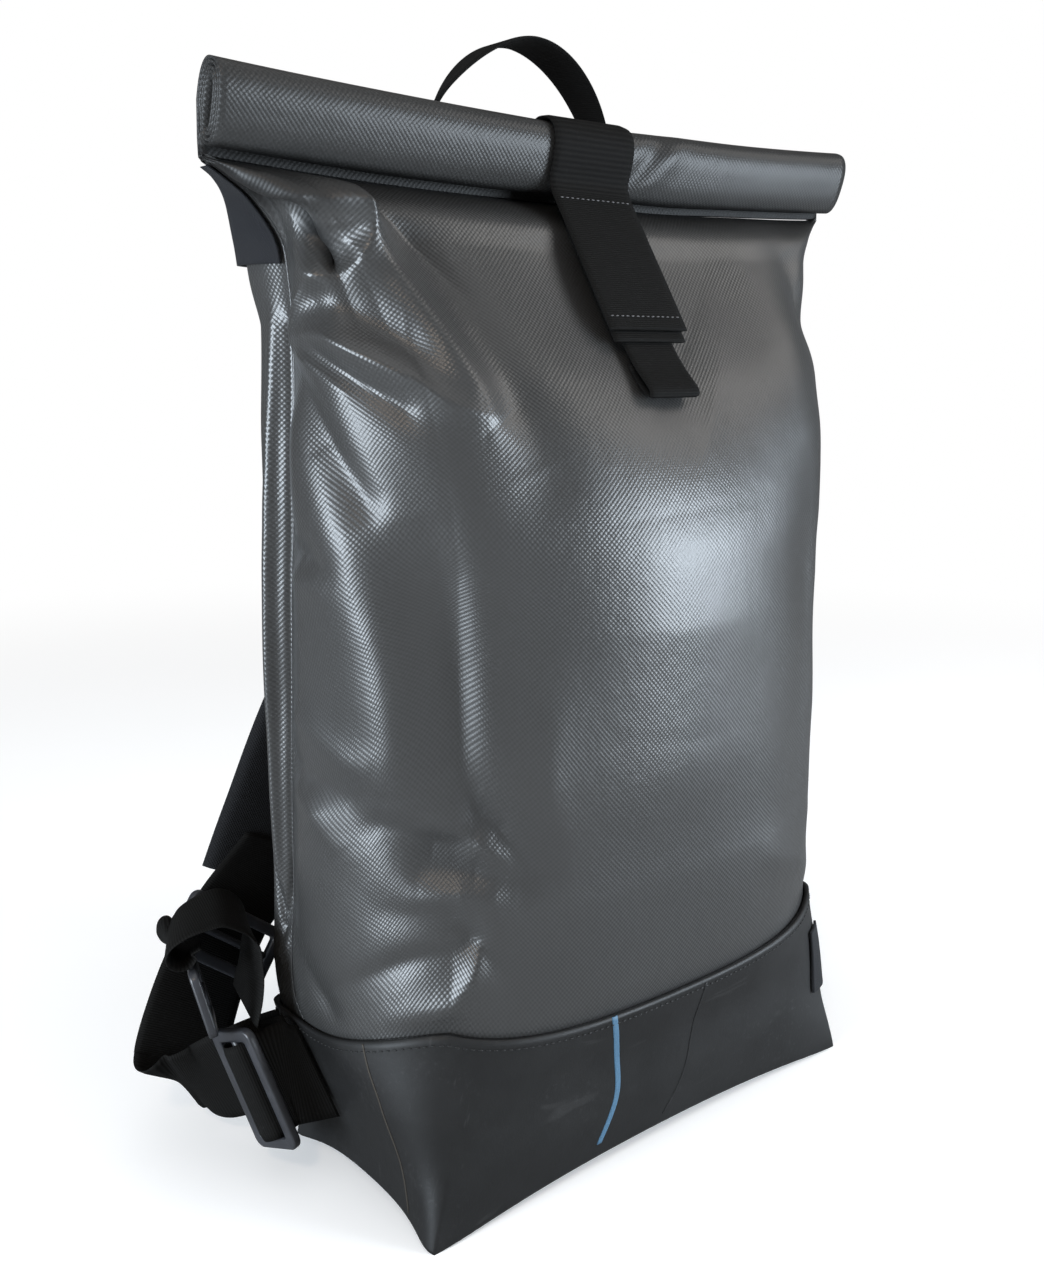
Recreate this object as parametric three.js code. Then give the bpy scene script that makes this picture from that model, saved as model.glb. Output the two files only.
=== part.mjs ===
// Rolltop backpack of coated tarpaulin with a rubber boot, in millimetres.
// X runs to the viewer's right, -Y is the front, +Z is up.
// The origin is the middle of the underside, on the surface that the pack stands on.
import * as THREE from 'three';

// Rubber boot and tarpaulin body
const baseWidth = 284;
const baseDepth = 122;
const bodyWidth = 312;
const bodyDepth = 136;
const neckHeight = 469.5;
const flatWidth = 383;
const neckSag = 5.5;
const tarpWall = 1.6;
const rubberWall = 2.2;
const clearance = 0.3;
const bootHeight = 86;
const bootOverlap = 12;
const bootGap = 1.1;
const bootTuck = 1.2;
const seamGap = 0.7;
const bottomEdgeLift = 7;
const footInset = 20;
const seamGroove = 5;
const seamGrooveWidth = 9;
const grooveFull = 1.8;
const grooveFades = 0.93;
const grooveEnds = 0.985;
const liftEnds = 0.6;
const sagStarts = 0.85;
const backEdge = 0.905;
const cornerRise = 0.13;

// Where the folds of the front fade out, as shares of the boot's and the neck's heights and of
// the panel's width
const foldsStart = 0.15;
const foldsFull = 0.45;
const foldsFade = 0.955;
const foldsEnd = 0.99;
const foldsFromSeam = 0.06;

// Rolled top
const rollHeight = 36;
const rollThickness = 21;
const rollLean = 16;
const rollTurns = 1.8;
const rollLayer = 2.6;
const rollLayerGap = 1.1;
const rollForward = 9.5;
const rollGap = 0.6;
const rollPower = 2.6;
const rollRise = 0.2;
const rollRiseLean = 0.2;

// Black back yoke
const yokeWall = 1.4;
const yokeGap = 1.8;
const yokeRows = 5;
const closureRowsDown = 3;
const handleRowsDown = 4;

// Webbing
const webbingWidth = 50;
const webbingWall = 1.8;
const closureDrop = 75;
const closureSlope = 56.5;
const closureGap = 0.9;
const closureFromTurn = -0.02;
const closureToTurn = 0.56;
const closureSteps = 12;
const closureBendOut = 0.04;
const closureBendDown = 0.12;
const gripWidth = 0.92;
const gripLength = 58;
const gripBeyond = 5;
const pullTabWidth = 32;
const pullTabReach = 34;

// Carry handle
const handleWidth = 28;
const handleSpan = 124;
const handleForward = 6;
const handleLift = 0.7;
const handleTop = 544.5;
const handlePower = 1.85;
const handleTwist = 0.5;
const handleTwistLean = 0.25;

// Shoulder straps and their fittings
const paddedWidth = 62;
const paddedWall = 9;
const strapSpread = 48;
const strapSeat = 0.9;
const strapLap = 6;
const anchorHeight = 0.62;
const anchorGap = 1.8;
const anchorLift = -0.85;
const anchorPlace = 0.68;
const anchorWebbingPlace = 0.29;
const anchorTail = 0.19;
const sliderLength = 63;
const sliderWidth = 33;
const sliderWall = 4.5;
const sliderRim = 6;
const sliderBar = 4;
const sliderCorner = 5;
const sliderCut = 0.35;
const sliderGap = 5.9;
const bucklePlace = 0.45;
const buckleGap = 3;

// Bare side tab
const labelHeight = 36;
const labelTop = 0.9;
const labelWall = 1.2;
const labelGap = 0.6;

// How finely the surfaces are divided
const sideColumns = 6;
const frontColumns = 20;
const backColumns = 14;
const panelRows = 21;
const bootRows = 5;
const rollSteps = 44;
const rollColumns = 4;
const handleSteps = 18;
const strapSteps = 22;
const webbingSteps = 34;
const anchorSteps = 30;
const endEase = 0.15;
const labelRows = 3;

const tarpFinish = { color: 0x55575a, roughness: 0.34, metalness: 0 };
const rubberFinish = { color: 0x262729, roughness: 0.6, metalness: 0 };
const webbingFinish = { color: 0x1b1b1a, roughness: 0.85, metalness: 0 };
const yokeFinish = { color: 0x1d1e22, roughness: 0.7, metalness: 0 };
const plasticFinish = { color: 0x3c3d42, roughness: 0.42, metalness: 0 };

// Sections of the body from the floor up. Each is two half superellipses that meet at the
// side seams, one to the front and one to the back. A higher power gives squarer corners,
// and cornerPull draws the corners outwards, as on the boxed bottom of the boot.
const sections = [
  { z: 0, halfWidth: 0.480 * baseWidth, seamY: 0, front: 0.459 * baseDepth, back: 0.459 * baseDepth,
    frontPower: 16, backPower: 16, cornerPull: 0.07 },
  { z: 0.064 * neckHeight, halfWidth: 0.491 * baseWidth, seamY: 0.06 * bodyDepth,
    front: 0.553 * baseDepth, back: 0.42 * baseDepth, frontPower: 8, backPower: 12, cornerPull: 0.02 },
  { z: 0.128 * neckHeight, halfWidth: 0.470 * bodyWidth, seamY: 0.16 * bodyDepth,
    front: 0.61 * bodyDepth, back: 0.31 * bodyDepth, frontPower: 5, backPower: 12, cornerPull: 0 },
  { z: 0.192 * neckHeight, halfWidth: 0.492 * bodyWidth, seamY: 0.295 * bodyDepth,
    front: 0.79 * bodyDepth, back: 0.182 * bodyDepth, frontPower: 3.3, backPower: 10, cornerPull: 0 },
  { z: 0.32 * neckHeight, halfWidth: 0.497 * bodyWidth, seamY: 0.315 * bodyDepth,
    front: 0.84 * bodyDepth, back: 0.163 * bodyDepth, frontPower: 2.85, backPower: 7, cornerPull: 0 },
  { z: 0.44 * neckHeight, halfWidth: 0.497 * bodyWidth, seamY: 0.30 * bodyDepth,
    front: 0.829 * bodyDepth, back: 0.178 * bodyDepth, frontPower: 2.6, backPower: 7, cornerPull: 0 },
  { z: 0.61 * neckHeight, halfWidth: 0.496 * bodyWidth, seamY: 0.27 * bodyDepth,
    front: 0.796 * bodyDepth, back: 0.208 * bodyDepth, frontPower: 2.42, backPower: 7, cornerPull: 0 },
  { z: 0.68 * neckHeight, halfWidth: 0.494 * bodyWidth, seamY: 0.25 * bodyDepth,
    front: 0.757 * bodyDepth, back: 0.228 * bodyDepth, frontPower: 2.6, backPower: 7, cornerPull: 0 },
  { z: 0.758 * neckHeight, halfWidth: 0.494 * bodyWidth, seamY: 0.235 * bodyDepth,
    front: 0.673 * bodyDepth, back: 0.24 * bodyDepth, frontPower: 3.0, backPower: 7, cornerPull: 0 },
  { z: 0.812 * neckHeight, halfWidth: 0.492 * bodyWidth, seamY: 0.225 * bodyDepth,
    front: 0.57 * bodyDepth, back: 0.25 * bodyDepth, frontPower: 3.5, backPower: 7, cornerPull: 0 },
  { z: 0.864 * neckHeight, halfWidth: 0.492 * bodyWidth, seamY: 0.22 * bodyDepth,
    front: 0.434 * bodyDepth, back: 0.25 * bodyDepth, frontPower: 4.6, backPower: 7, cornerPull: 0 },
  { z: 0.905 * neckHeight, halfWidth: 0.496 * bodyWidth, seamY: 0.22 * bodyDepth,
    front: 0.338 * bodyDepth, back: 0.252 * bodyDepth, frontPower: 6, backPower: 13, cornerPull: 0 },
  { z: 0.942 * neckHeight, halfWidth: 0.411 * flatWidth, seamY: 0.225 * bodyDepth,
    front: 0.269 * bodyDepth, back: 0.235 * bodyDepth, frontPower: 9, backPower: 15, cornerPull: 0 },
  { z: 0.972 * neckHeight, halfWidth: 0.434 * flatWidth, seamY: 0.215 * bodyDepth,
    front: 0.215 * bodyDepth, back: 0.18 * bodyDepth, frontPower: 9, backPower: 9, cornerPull: 0 },
  { z: 0.989 * neckHeight, halfWidth: 0.468 * flatWidth, seamY: 0.195 * bodyDepth,
    front: 0.12 * bodyDepth, back: 0.09 * bodyDepth, frontPower: 9, backPower: 6, cornerPull: 0 },
  { z: neckHeight, halfWidth: 0.5 * flatWidth, seamY: 0.175 * bodyDepth,
    front: tarpWall + clearance, back: tarpWall + clearance, frontPower: 12, backPower: 12, cornerPull: 0 },
];

// Folds and dents of the front panel, each a line along which the tarpaulin stands out or
// sinks. across runs from the left seam (0) to the right seam (1), and up is a share of the
// neck's height. rise is a share of the pack's depth, reach a share of its width, and crest
// is the profile's power: 1 for a sharp crease, 2 for a round one.
const frontFolds = [
  { across: 0.150, up: 0.978, toAcross: 0.220, toUp: 0.963,
    rise: 0.030, toRise: 0.030, reach: 0.030, crest: 1.5 },
  { across: 0.148, up: 0.937, toAcross: 0.150, toUp: 0.935,
    rise: -0.110, toRise: -0.110, reach: 0.062, crest: 2 },
  { across: 0.211, up: 0.952, toAcross: 0.168, toUp: 0.912,
    rise: 0.040, toRise: 0.040, reach: 0.034, crest: 1.6 },
  { across: 0.168, up: 0.912, toAcross: 0.100, toUp: 0.903,
    rise: 0.040, toRise: 0.020, reach: 0.034, crest: 1.6 },
  { across: 0.223, up: 0.958, toAcross: 0.262, toUp: 0.905,
    rise: 0.050, toRise: 0.050, reach: 0.060, crest: 1.7 },
  { across: 0.262, up: 0.905, toAcross: 0.277, toUp: 0.782,
    rise: 0.050, toRise: 0.020, reach: 0.060, crest: 1.7 },
  { across: 0.290, up: 0.950, toAcross: 0.325, toUp: 0.784,
    rise: -0.040, toRise: -0.030, reach: 0.080, crest: 2 },
  { across: 0.040, up: 0.878, toAcross: 0.240, toUp: 0.872,
    rise: -0.035, toRise: -0.025, reach: 0.050, crest: 2 },
  { across: 0.010, up: 0.850, toAcross: 0.254, toUp: 0.820,
    rise: 0.040, toRise: 0.015, reach: 0.040, crest: 1.4 },
  { across: 0.010, up: 0.850, toAcross: 0.094, toUp: 0.730,
    rise: 0.035, toRise: 0.020, reach: 0.040, crest: 1.6 },
  { across: 0.130, up: 0.810, toAcross: 0.190, toUp: 0.760,
    rise: -0.035, toRise: -0.025, reach: 0.050, crest: 2 },
  { across: 0.086, up: 0.700, toAcross: 0.086, toUp: 0.380,
    rise: 0.035, toRise: 0.035, reach: 0.080, crest: 2 },
  { across: 0.222, up: 0.720, toAcross: 0.207, toUp: 0.440,
    rise: -0.045, toRise: -0.045, reach: 0.090, crest: 2 },
  { across: 0.450, up: 0.700, toAcross: 0.450, toUp: 0.420,
    rise: 0.020, toRise: 0.025, reach: 0.170, crest: 2 },
  { across: 0.500, up: 0.870, toAcross: 0.500, toUp: 0.800,
    rise: -0.036, toRise: -0.036, reach: 0.100, crest: 2 },
  { across: 0.240, up: 0.430, toAcross: 0.336, toUp: 0.370,
    rise: -0.045, toRise: -0.030, reach: 0.060, crest: 2 },
  { across: 0.070, up: 0.235, toAcross: 0.230, toUp: 0.277,
    rise: 0.035, toRise: 0.020, reach: 0.045, crest: 1.6 },
];

// Shoulder strap: shares of the way from its top at the yoke to the lower webbing. back above 1
// would bow it out behind both ends.
const shoulderStrapRows = [
  { out: 0, back: 0, down: 0 },
  { out: 0.005, back: 0.05, down: 0.10 },
  { out: 0.04, back: 0.22, down: 0.24 },
  { out: 0.14, back: 0.46, down: 0.40 },
  { out: 0.32, back: 0.72, down: 0.56 },
  { out: 0.57, back: 0.92, down: 0.73 },
  { out: 0.80, back: 0.99, down: 0.88 },
  { out: 1, back: 1, down: 1 },
];

// Reads a table of rows at a place between them, on smooth curves through the rows.
function readRows(rows, place) {
  const last = rows.length - 1;
  const at = Math.min(Math.max(place, 0), last);
  const index = Math.min(Math.floor(at), last - 1);
  const t = at - index;
  const result = {};
  for (const key of Object.keys(rows[0])) {
    const before = rows[Math.max(index - 1, 0)][key];
    const start = rows[index][key];
    const end = rows[index + 1][key];
    const after = rows[Math.min(index + 2, last)][key];
    const slope = end - start;
    const most = 3 * Math.abs(slope);
    const limit = (value) => (value * slope <= 0 ? 0 : Math.min(Math.max(value, -most), most));
    const startSlope = limit(0.5 * (end - before));
    const endSlope = limit(0.5 * (after - start));
    const t2 = t * t;
    const t3 = t2 * t;
    result[key] = (2 * t3 - 3 * t2 + 1) * start + (t3 - 2 * t2 + t) * startSlope
      + (3 * t2 - 2 * t3) * end + (t3 - t2) * endSlope;
  }
  return result;
}

// Finds where the table of sections reaches a height.
function placeAtHeight(height) {
  let low = 0;
  let high = sections.length - 1;
  for (let step = 0; step < 40; step += 1) {
    const middle = 0.5 * (low + high);
    if (readRows(sections, middle).z < height) {
      low = middle;
    } else {
      high = middle;
    }
  }
  return 0.5 * (low + high);
}

function fade(value, from, to) {
  const t = Math.min(Math.max((value - from) / (to - from), 0), 1);
  return t * t * (3 - 2 * t);
}

// How far the roll and the neck under it hang down, from the ends (-1 and 1) to the middle.
function sagAt(share) {
  return neckSag * (1 - Math.min(share * share, 1));
}

// The point of a section in the direction (across, along), each from -1 to 1, of a square
// round it: along -1 is the front and 1 the back. outset moves it outwards.
function sectionPoint(place, across, along, outset) {
  const row = readRows(sections, place);
  const toBack = along > 0;
  const power = toBack ? row.backPower : row.frontPower;
  const depth = (toBack ? row.back : row.front) + outset;
  const halfWidth = row.halfWidth + outset;
  const corner = Math.abs(across * along);
  const sum = Math.abs(across) ** power + Math.abs(along) ** power;
  const reach = sum ** (-1 / power) * (1 + row.cornerPull * corner ** 4);
  const fromSeam = depth * along * reach;
  const grooved = seamGroove * fade(row.z, bootHeight, grooveFull * bootHeight)
    * (1 - fade(row.z, grooveFades * neckHeight, grooveEnds * neckHeight));
  const dip = grooved * Math.exp(-((fromSeam / seamGrooveWidth) ** 2)) * Math.abs(across) ** 6;
  const x = halfWidth * across * reach - Math.sign(across) * dip;
  const y = row.seamY + fromSeam;
  const lift = bottomEdgeLift * (1 - corner ** 2) * (1 - fade(row.z, 0, liftEnds * bootHeight));
  const sag = sagAt(x / halfWidth) * fade(row.z, sagStarts * neckHeight, neckHeight);
  return new THREE.Vector3(x, y, row.z + lift - sag);
}

// A row of directions round the front or the back half, from one side seam to the other.
function halfDirections(faceColumns, along) {
  const directions = [];
  for (let step = 0; step < sideColumns; step += 1) {
    directions.push([-1, along * step / sideColumns]);
  }
  for (let step = 0; step <= faceColumns; step += 1) {
    directions.push([-1 + 2 * step / faceColumns, along]);
  }
  for (let step = sideColumns - 1; step >= 0; step -= 1) {
    directions.push([1, along * step / sideColumns]);
  }
  return directions;
}

// Height of the rubber edge in a direction round the boot: highest at the front corners.
function bootEdge(across, along) {
  const frontness = fade(-along, 0, 1);
  const corner = Math.abs(across) ** 2;
  return bootHeight * (backEdge + (1 - backEdge) * frontness + cornerRise * frontness * corner);
}

// How far the front panel stands out (or sinks) at a place on it.
function frontFold(across, up) {
  const panelWidth = bodyWidth + bodyDepth;
  let total = 0;
  for (const fold of frontFolds) {
    const alongX = (fold.toAcross - fold.across) * panelWidth;
    const alongZ = (fold.toUp - fold.up) * neckHeight;
    const x = (across - fold.across) * panelWidth;
    const z = (up - fold.up) * neckHeight;
    const share = (x * alongX + z * alongZ) / (alongX * alongX + alongZ * alongZ);
    const along = Math.min(Math.max(share, 0), 1);
    const distance = Math.hypot(x - along * alongX, z - along * alongZ);
    const rise = (fold.rise + (fold.toRise - fold.rise) * along) * bodyDepth;
    total += rise * Math.exp(-((distance / (fold.reach * bodyWidth)) ** fold.crest));
  }
  const fromBoot = (up * neckHeight - bootHeight) / bootHeight;
  const fromSeam = Math.min(across, 1 - across);
  return total * fade(fromBoot, foldsStart, foldsFull) * (1 - fade(up, foldsFade, foldsEnd))
    * fade(fromSeam, 0, foldsFromSeam);
}

// Turns vertices and triangles into a closed geometry whose faces point outwards.
function closedGeometry(vertices, triangles) {
  let volume = 0;
  for (const [a, b, c] of triangles) {
    volume += vertices[a].dot(new THREE.Vector3().crossVectors(vertices[b], vertices[c]));
  }
  const index = triangles.flatMap(([a, b, c]) => (volume > 0 ? [a, b, c] : [a, c, b]));
  const geometry = new THREE.BufferGeometry();
  const positions = vertices.flatMap((vertex) => [vertex.x, vertex.y, vertex.z]);
  geometry.setAttribute('position', new THREE.Float32BufferAttribute(positions, 3));
  geometry.setIndex(index);
  geometry.computeVertexNormals();
  return geometry;
}

// A wall between an outer and an inner grid of points. ring joins the last column to the
// first, and closeEnd closes the last row with a point in its middle.
function wallGeometry(outer, inner, ring, closeEnd) {
  const rows = outer.length;
  const columns = outer[0].length;
  const vertices = [...outer.flat(), ...inner.flat()];
  const triangles = [];
  const outerAt = (row, column) => row * columns + (column % columns);
  const innerAt = (row, column) => rows * columns + outerAt(row, column);
  const quad = (a, b, c, d) => {
    triangles.push([a, b, c], [a, c, d]);
  };
  const lastColumn = ring ? columns : columns - 1;
  for (let row = 0; row < rows - 1; row += 1) {
    for (let column = 0; column < lastColumn; column += 1) {
      for (const [at, left, right] of [[outerAt, 0, 1], [innerAt, 1, 0]]) {
        quad(
          at(row, column + left),
          at(row, column + right),
          at(row + 1, column + right),
          at(row + 1, column + left),
        );
      }
    }
  }
  for (let column = 0; column < lastColumn; column += 1) {
    quad(outerAt(0, column), innerAt(0, column), innerAt(0, column + 1), outerAt(0, column + 1));
    if (!closeEnd) {
      const row = rows - 1;
      quad(outerAt(row, column), outerAt(row, column + 1), innerAt(row, column + 1), innerAt(row, column));
    }
  }
  if (!ring) {
    for (let row = 0; row < rows - 1; row += 1) {
      quad(outerAt(row, 0), outerAt(row + 1, 0), innerAt(row + 1, 0), innerAt(row, 0));
      const column = columns - 1;
      quad(outerAt(row, column), innerAt(row, column), innerAt(row + 1, column), outerAt(row + 1, column));
    }
  }
  if (closeEnd) {
    const outerMiddle = vertices.push(centreOf(outer[rows - 1])) - 1;
    const innerMiddle = vertices.push(centreOf(inner[rows - 1])) - 1;
    for (let column = 0; column < lastColumn; column += 1) {
      triangles.push([outerAt(rows - 1, column), outerAt(rows - 1, column + 1), outerMiddle]);
      triangles.push([innerAt(rows - 1, column), innerMiddle, innerAt(rows - 1, column + 1)]);
    }
  }
  return closedGeometry(vertices, triangles);
}

function centreOf(points) {
  const middle = new THREE.Vector3();
  for (const point of points) {
    middle.addScaledVector(point, 1 / points.length);
  }
  return middle;
}

// Sweeps a closed outline of [across, thick] pairs along stations with a side and a normal.
function sweepGeometry(stations, outline) {
  const count = outline.length;
  const vertices = stations.flatMap((station) => outline.map(([across, thick]) => station.point.clone()
    .addScaledVector(station.side, across * station.width)
    .addScaledVector(station.normal, thick * station.wall)));
  const triangles = [];
  for (let row = 0; row < stations.length - 1; row += 1) {
    for (let side = 0; side < count; side += 1) {
      const a = row * count + side;
      const b = row * count + (side + 1) % count;
      if (2 * side < count) {
        triangles.push([a, b, b + count], [a, b + count, a + count]);
      } else {
        triangles.push([a, b, a + count], [b, b + count, a + count]);
      }
    }
  }
  const lastRow = (stations.length - 1) * count;
  for (let side = 1; side < count - 1; side += 1) {
    triangles.push([0, side + 1, side], [lastRow, lastRow + side, lastRow + side + 1]);
  }
  return closedGeometry(vertices, triangles);
}

const flatOutline = [[-0.5, -0.5], [0.5, -0.5], [0.5, 0.5], [-0.5, 0.5]];
const paddedOutline = [[-0.5, -0.22], [-0.4, -0.5], [0.4, -0.5], [0.5, -0.22],
  [0.5, 0.22], [0.4, 0.5], [-0.4, 0.5], [-0.5, 0.22]];

// Stations along a path in the plane across X: points are [y, z] pairs.
function planarStations(points, middleX, width, wall) {
  return points.map(([y, z], index) => {
    const [y0, z0] = points[Math.max(index - 1, 0)];
    const [y1, z1] = points[Math.min(index + 1, points.length - 1)];
    const length = Math.hypot(y1 - y0, z1 - z0);
    return {
      point: new THREE.Vector3(middleX, y, z),
      side: new THREE.Vector3(1, 0, 0),
      normal: new THREE.Vector3(0, -(z1 - z0) / length, (y1 - y0) / length),
      width,
      wall,
    };
  });
}

// Stations on a smooth curve through rows that give a point and the direction of the width.
// The two ends keep that direction as it is given, so that they can lie flat on a wall.
function freeStations(rows, steps, width, wall) {
  const path = new THREE.CatmullRomCurve3(rows.map((row) => row.point));
  const sides = new THREE.CatmullRomCurve3(rows.map((row) => row.side));
  const stations = [];
  for (let step = 0; step <= steps; step += 1) {
    const t = step / steps;
    const tangent = path.getTangent(t);
    const side = sides.getPoint(t).normalize();
    const square = fade(Math.min(t, 1 - t), 0, endEase);
    side.addScaledVector(tangent, -square * side.dot(tangent)).normalize();
    const normal = new THREE.Vector3().crossVectors(tangent, side).normalize();
    stations.push({ point: path.getPoint(t), side, normal, width, wall });
  }
  return stations;
}

// Rubber boot: an open tray, whose rim covers the lower edge of the tarpaulin
function bootGeometry() {
  const directions = [...halfDirections(frontColumns, -1),
    ...halfDirections(backColumns, 1).reverse().slice(1, -1)];
  const surface = (outset, floor) => {
    const rows = [];
    for (let row = 0; row <= bootRows; row += 1) {
      rows.push(directions.map(([across, along]) => {
        const place = placeAtHeight(bootEdge(across, along)) * (1 - row / bootRows);
        const point = sectionPoint(place, across, along, outset);
        point.z += floor * row / bootRows;
        return point;
      }));
    }
    const foot = rows[bootRows].map((point) => {
      const share = 1 - footInset / (0.5 * baseDepth);
      return new THREE.Vector3(point.x * share, point.y * share, floor);
    });
    return [...rows, foot];
  };
  const outer = surface(bootGap + rubberWall, 0);
  const inner = surface(bootGap, rubberWall);
  return wallGeometry(outer, inner, true, true);
}

// Where a row of the tarpaulin lies in the table of sections, above a direction on the boot
function panelPlace(row, across, along) {
  const low = placeAtHeight(bootEdge(across, along) - bootOverlap);
  return low + (sections.length - 1 - low) * row / panelRows;
}

// A half of the tarpaulin body, from inside the boot up to the neck
function tarpGeometry(faceColumns, along, foldAt) {
  const directions = halfDirections(faceColumns, along);
  const lastColumn = directions.length - 1;
  const surface = (outset) => {
    const rows = [];
    for (let row = 0; row <= panelRows; row += 1) {
      const tucked = outset - (row === 0 ? bootTuck : 0);
      rows.push(directions.map(([across, forward]) => {
        const point = sectionPoint(panelPlace(row, across, forward), across, forward, tucked);
        point.y += 0.5 * seamGap * along;
        return point;
      }));
    }
    return rows;
  };
  const outer = surface(0);
  const inner = surface(-tarpWall);
  const folded = outer.map((points, row) => points.map((point, column) => {
    const depth = foldAt(column / lastColumn, point.z / neckHeight);
    const left = points[Math.max(column - 1, 0)];
    const right = points[Math.min(column + 1, lastColumn)];
    const below = outer[Math.max(row - 1, 0)][column];
    const above = outer[Math.min(row + 1, panelRows)][column];
    const normal = new THREE.Vector3().crossVectors(
      right.clone().sub(left),
      above.clone().sub(below),
    ).normalize().multiplyScalar(-along);
    return normal.multiplyScalar(depth);
  }));
  outer.forEach((points, row) => points.forEach((point, column) => point.add(folded[row][column])));
  inner.forEach((points, row) => points.forEach((point, column) => point.add(folded[row][column])));
  return wallGeometry(outer, inner, false, false);
}

// Yoke: a dark band sewn on the top of the back, wrapped round to the side seams
function yokeGeometry() {
  const directions = halfDirections(backColumns, 1).slice(1, -1);
  const surface = (outset) => {
    const rows = [];
    for (let row = panelRows - 1 - yokeRows; row < panelRows; row += 1) {
      const place = panelPlace(row, 0, 1);
      rows.push(directions.map(([across, along]) => sectionPoint(place, across, along, outset)));
    }
    return rows;
  };
  return wallGeometry(surface(yokeGap + yokeWall), surface(yokeGap), false, false);
}

// Points of the roll's flattened spiral, from outside to inside, as [y, z] pairs.
// outset moves the path outwards from the middle of its layer.
function rollPath(startTurn, endTurn, steps, outset) {
  const neck = readRows(sections, sections.length - 1);
  const middleY = neck.seamY - rollForward;
  const middleZ = neckHeight + rollGap + 0.5 * rollHeight;
  const lean = THREE.MathUtils.degToRad(rollLean);
  const pitch = rollLayer + rollLayerGap;
  const points = [];
  for (let step = 0; step <= steps; step += 1) {
    const turn = startTurn + (endTurn - startTurn) * step / steps;
    const inset = pitch * Math.max(turn, 0) + 0.5 * rollLayer - outset;
    const angle = 2 * Math.PI * turn;
    const c = Math.cos(angle);
    const s = Math.sin(angle);
    const reach = (Math.abs(c) ** rollPower + Math.abs(s) ** rollPower) ** (-1 / rollPower);
    const y = (0.5 * rollThickness - inset) * c * reach;
    const z = (0.5 * rollHeight - inset) * s * reach;
    points.push([
      middleY + y * Math.cos(lean) - z * Math.sin(lean),
      middleZ + z * Math.cos(lean) + y * Math.sin(lean),
    ]);
  }
  return points;
}

// Moves a path of [y, z] points sideways, to the left of its direction.
function offsetPath(points, distance) {
  return points.map(([y, z], index) => {
    const [y0, z0] = points[Math.max(index - 1, 0)];
    const [y1, z1] = points[Math.min(index + 1, points.length - 1)];
    const length = Math.hypot(y1 - y0, z1 - z0);
    return [y - distance * (z1 - z0) / length, z + distance * (y1 - y0) / length];
  });
}

// Roll: the flattened mouth, both walls together, wound forwards
function rollGeometry() {
  const neck = readRows(sections, sections.length - 1);
  const rise = [
    [neck.seamY, neckHeight + rollGap],
    [neck.seamY + rollRiseLean, neckHeight + rollRise * rollHeight],
  ];
  const path = [...rise, ...rollPath(0, rollTurns, rollSteps, 0)];
  const surface = (distance) => offsetPath(path, distance).map(([y, z]) => {
    const row = [];
    for (let column = 0; column <= rollColumns; column += 1) {
      const share = -1 + 2 * column / rollColumns;
      row.push(new THREE.Vector3(0.5 * flatWidth * share, y, z - sagAt(share)));
    }
    return row;
  });
  return wallGeometry(surface(0.5 * rollLayer), surface(-0.5 * rollLayer), false, false);
}

// The middle line of the yoke's outer face: [y, z] pairs from a row of the back up to another
function yokeLine(fromRow, toRow) {
  const points = [];
  for (let row = fromRow; row <= toRow; row += 1) {
    const point = sectionPoint(panelPlace(row, 0, 1), 0, 1, yokeGap + yokeWall);
    points.push([point.y, point.z]);
  }
  return points;
}

// Path of the closure strap: up the yoke, over the roll, then straight down in front of it
function closurePath() {
  const overRoll = rollPath(closureFromTurn, closureToTurn, closureSteps, 0.5 * rollLayer)
    .map(([y, z]) => [y, z - neckSag]);
  const up = yokeLine(panelRows - yokeRows, panelRows - closureRowsDown);
  const held = offsetPath([...up, ...overRoll], -(closureGap + 0.5 * webbingWall));
  const slope = THREE.MathUtils.degToRad(closureSlope);
  const [y, z] = held[held.length - 1];
  const bend = [y - closureBendOut * webbingWidth, z - closureBendDown * webbingWidth];
  const end = [bend[0] - closureDrop * Math.cos(slope), bend[1] - closureDrop * Math.sin(slope)];
  return { held, bend, end };
}

// A point under the closure strap's straight part: up from its end, and in towards the pack
function underStrap(up, under) {
  const { end } = closurePath();
  const slope = THREE.MathUtils.degToRad(closureSlope);
  return [
    end[0] + up * Math.cos(slope) + under * Math.sin(slope),
    end[1] + up * Math.sin(slope) - under * Math.cos(slope),
  ];
}

function closureGeometry() {
  const { held, bend, end } = closurePath();
  return sweepGeometry(planarStations([...held, bend, end], 0, webbingWidth, webbingWall), flatOutline);
}

// Grip: the second layer under the closure strap, a little longer than the strap
function gripGeometry() {
  const under = webbingWall + clearance;
  const points = [
    underStrap(gripLength, under),
    underStrap(0.5 * gripLength, under),
    underStrap(-gripBeyond, under),
  ];
  return sweepGeometry(planarStations(points, 0, gripWidth * webbingWidth, webbingWall), flatOutline);
}

// Pull tab: a folded loop of narrow webbing that sticks out below the strap's end. up is a
// share of its reach, under a share of a layer of webbing below the closure strap.
const pullTabRows = [
  { up: 0.35, under: 2 },
  { up: -0.2, under: 2 },
  { up: -0.55, under: 1.4 },
  { up: -0.95, under: 0.2 },
  { up: -1, under: 0.75 },
  { up: -0.95, under: 1.5 },
  { up: -0.62, under: 2.85 },
  { up: -0.42, under: 3 },
];

function pullTabGeometry() {
  const layer = webbingWall + clearance;
  const points = pullTabRows.map(({ up, under }) => underStrap(up * pullTabReach, under * layer));
  return sweepGeometry(planarStations(points, 0, pullTabWidth, webbingWall), flatOutline);
}

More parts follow.
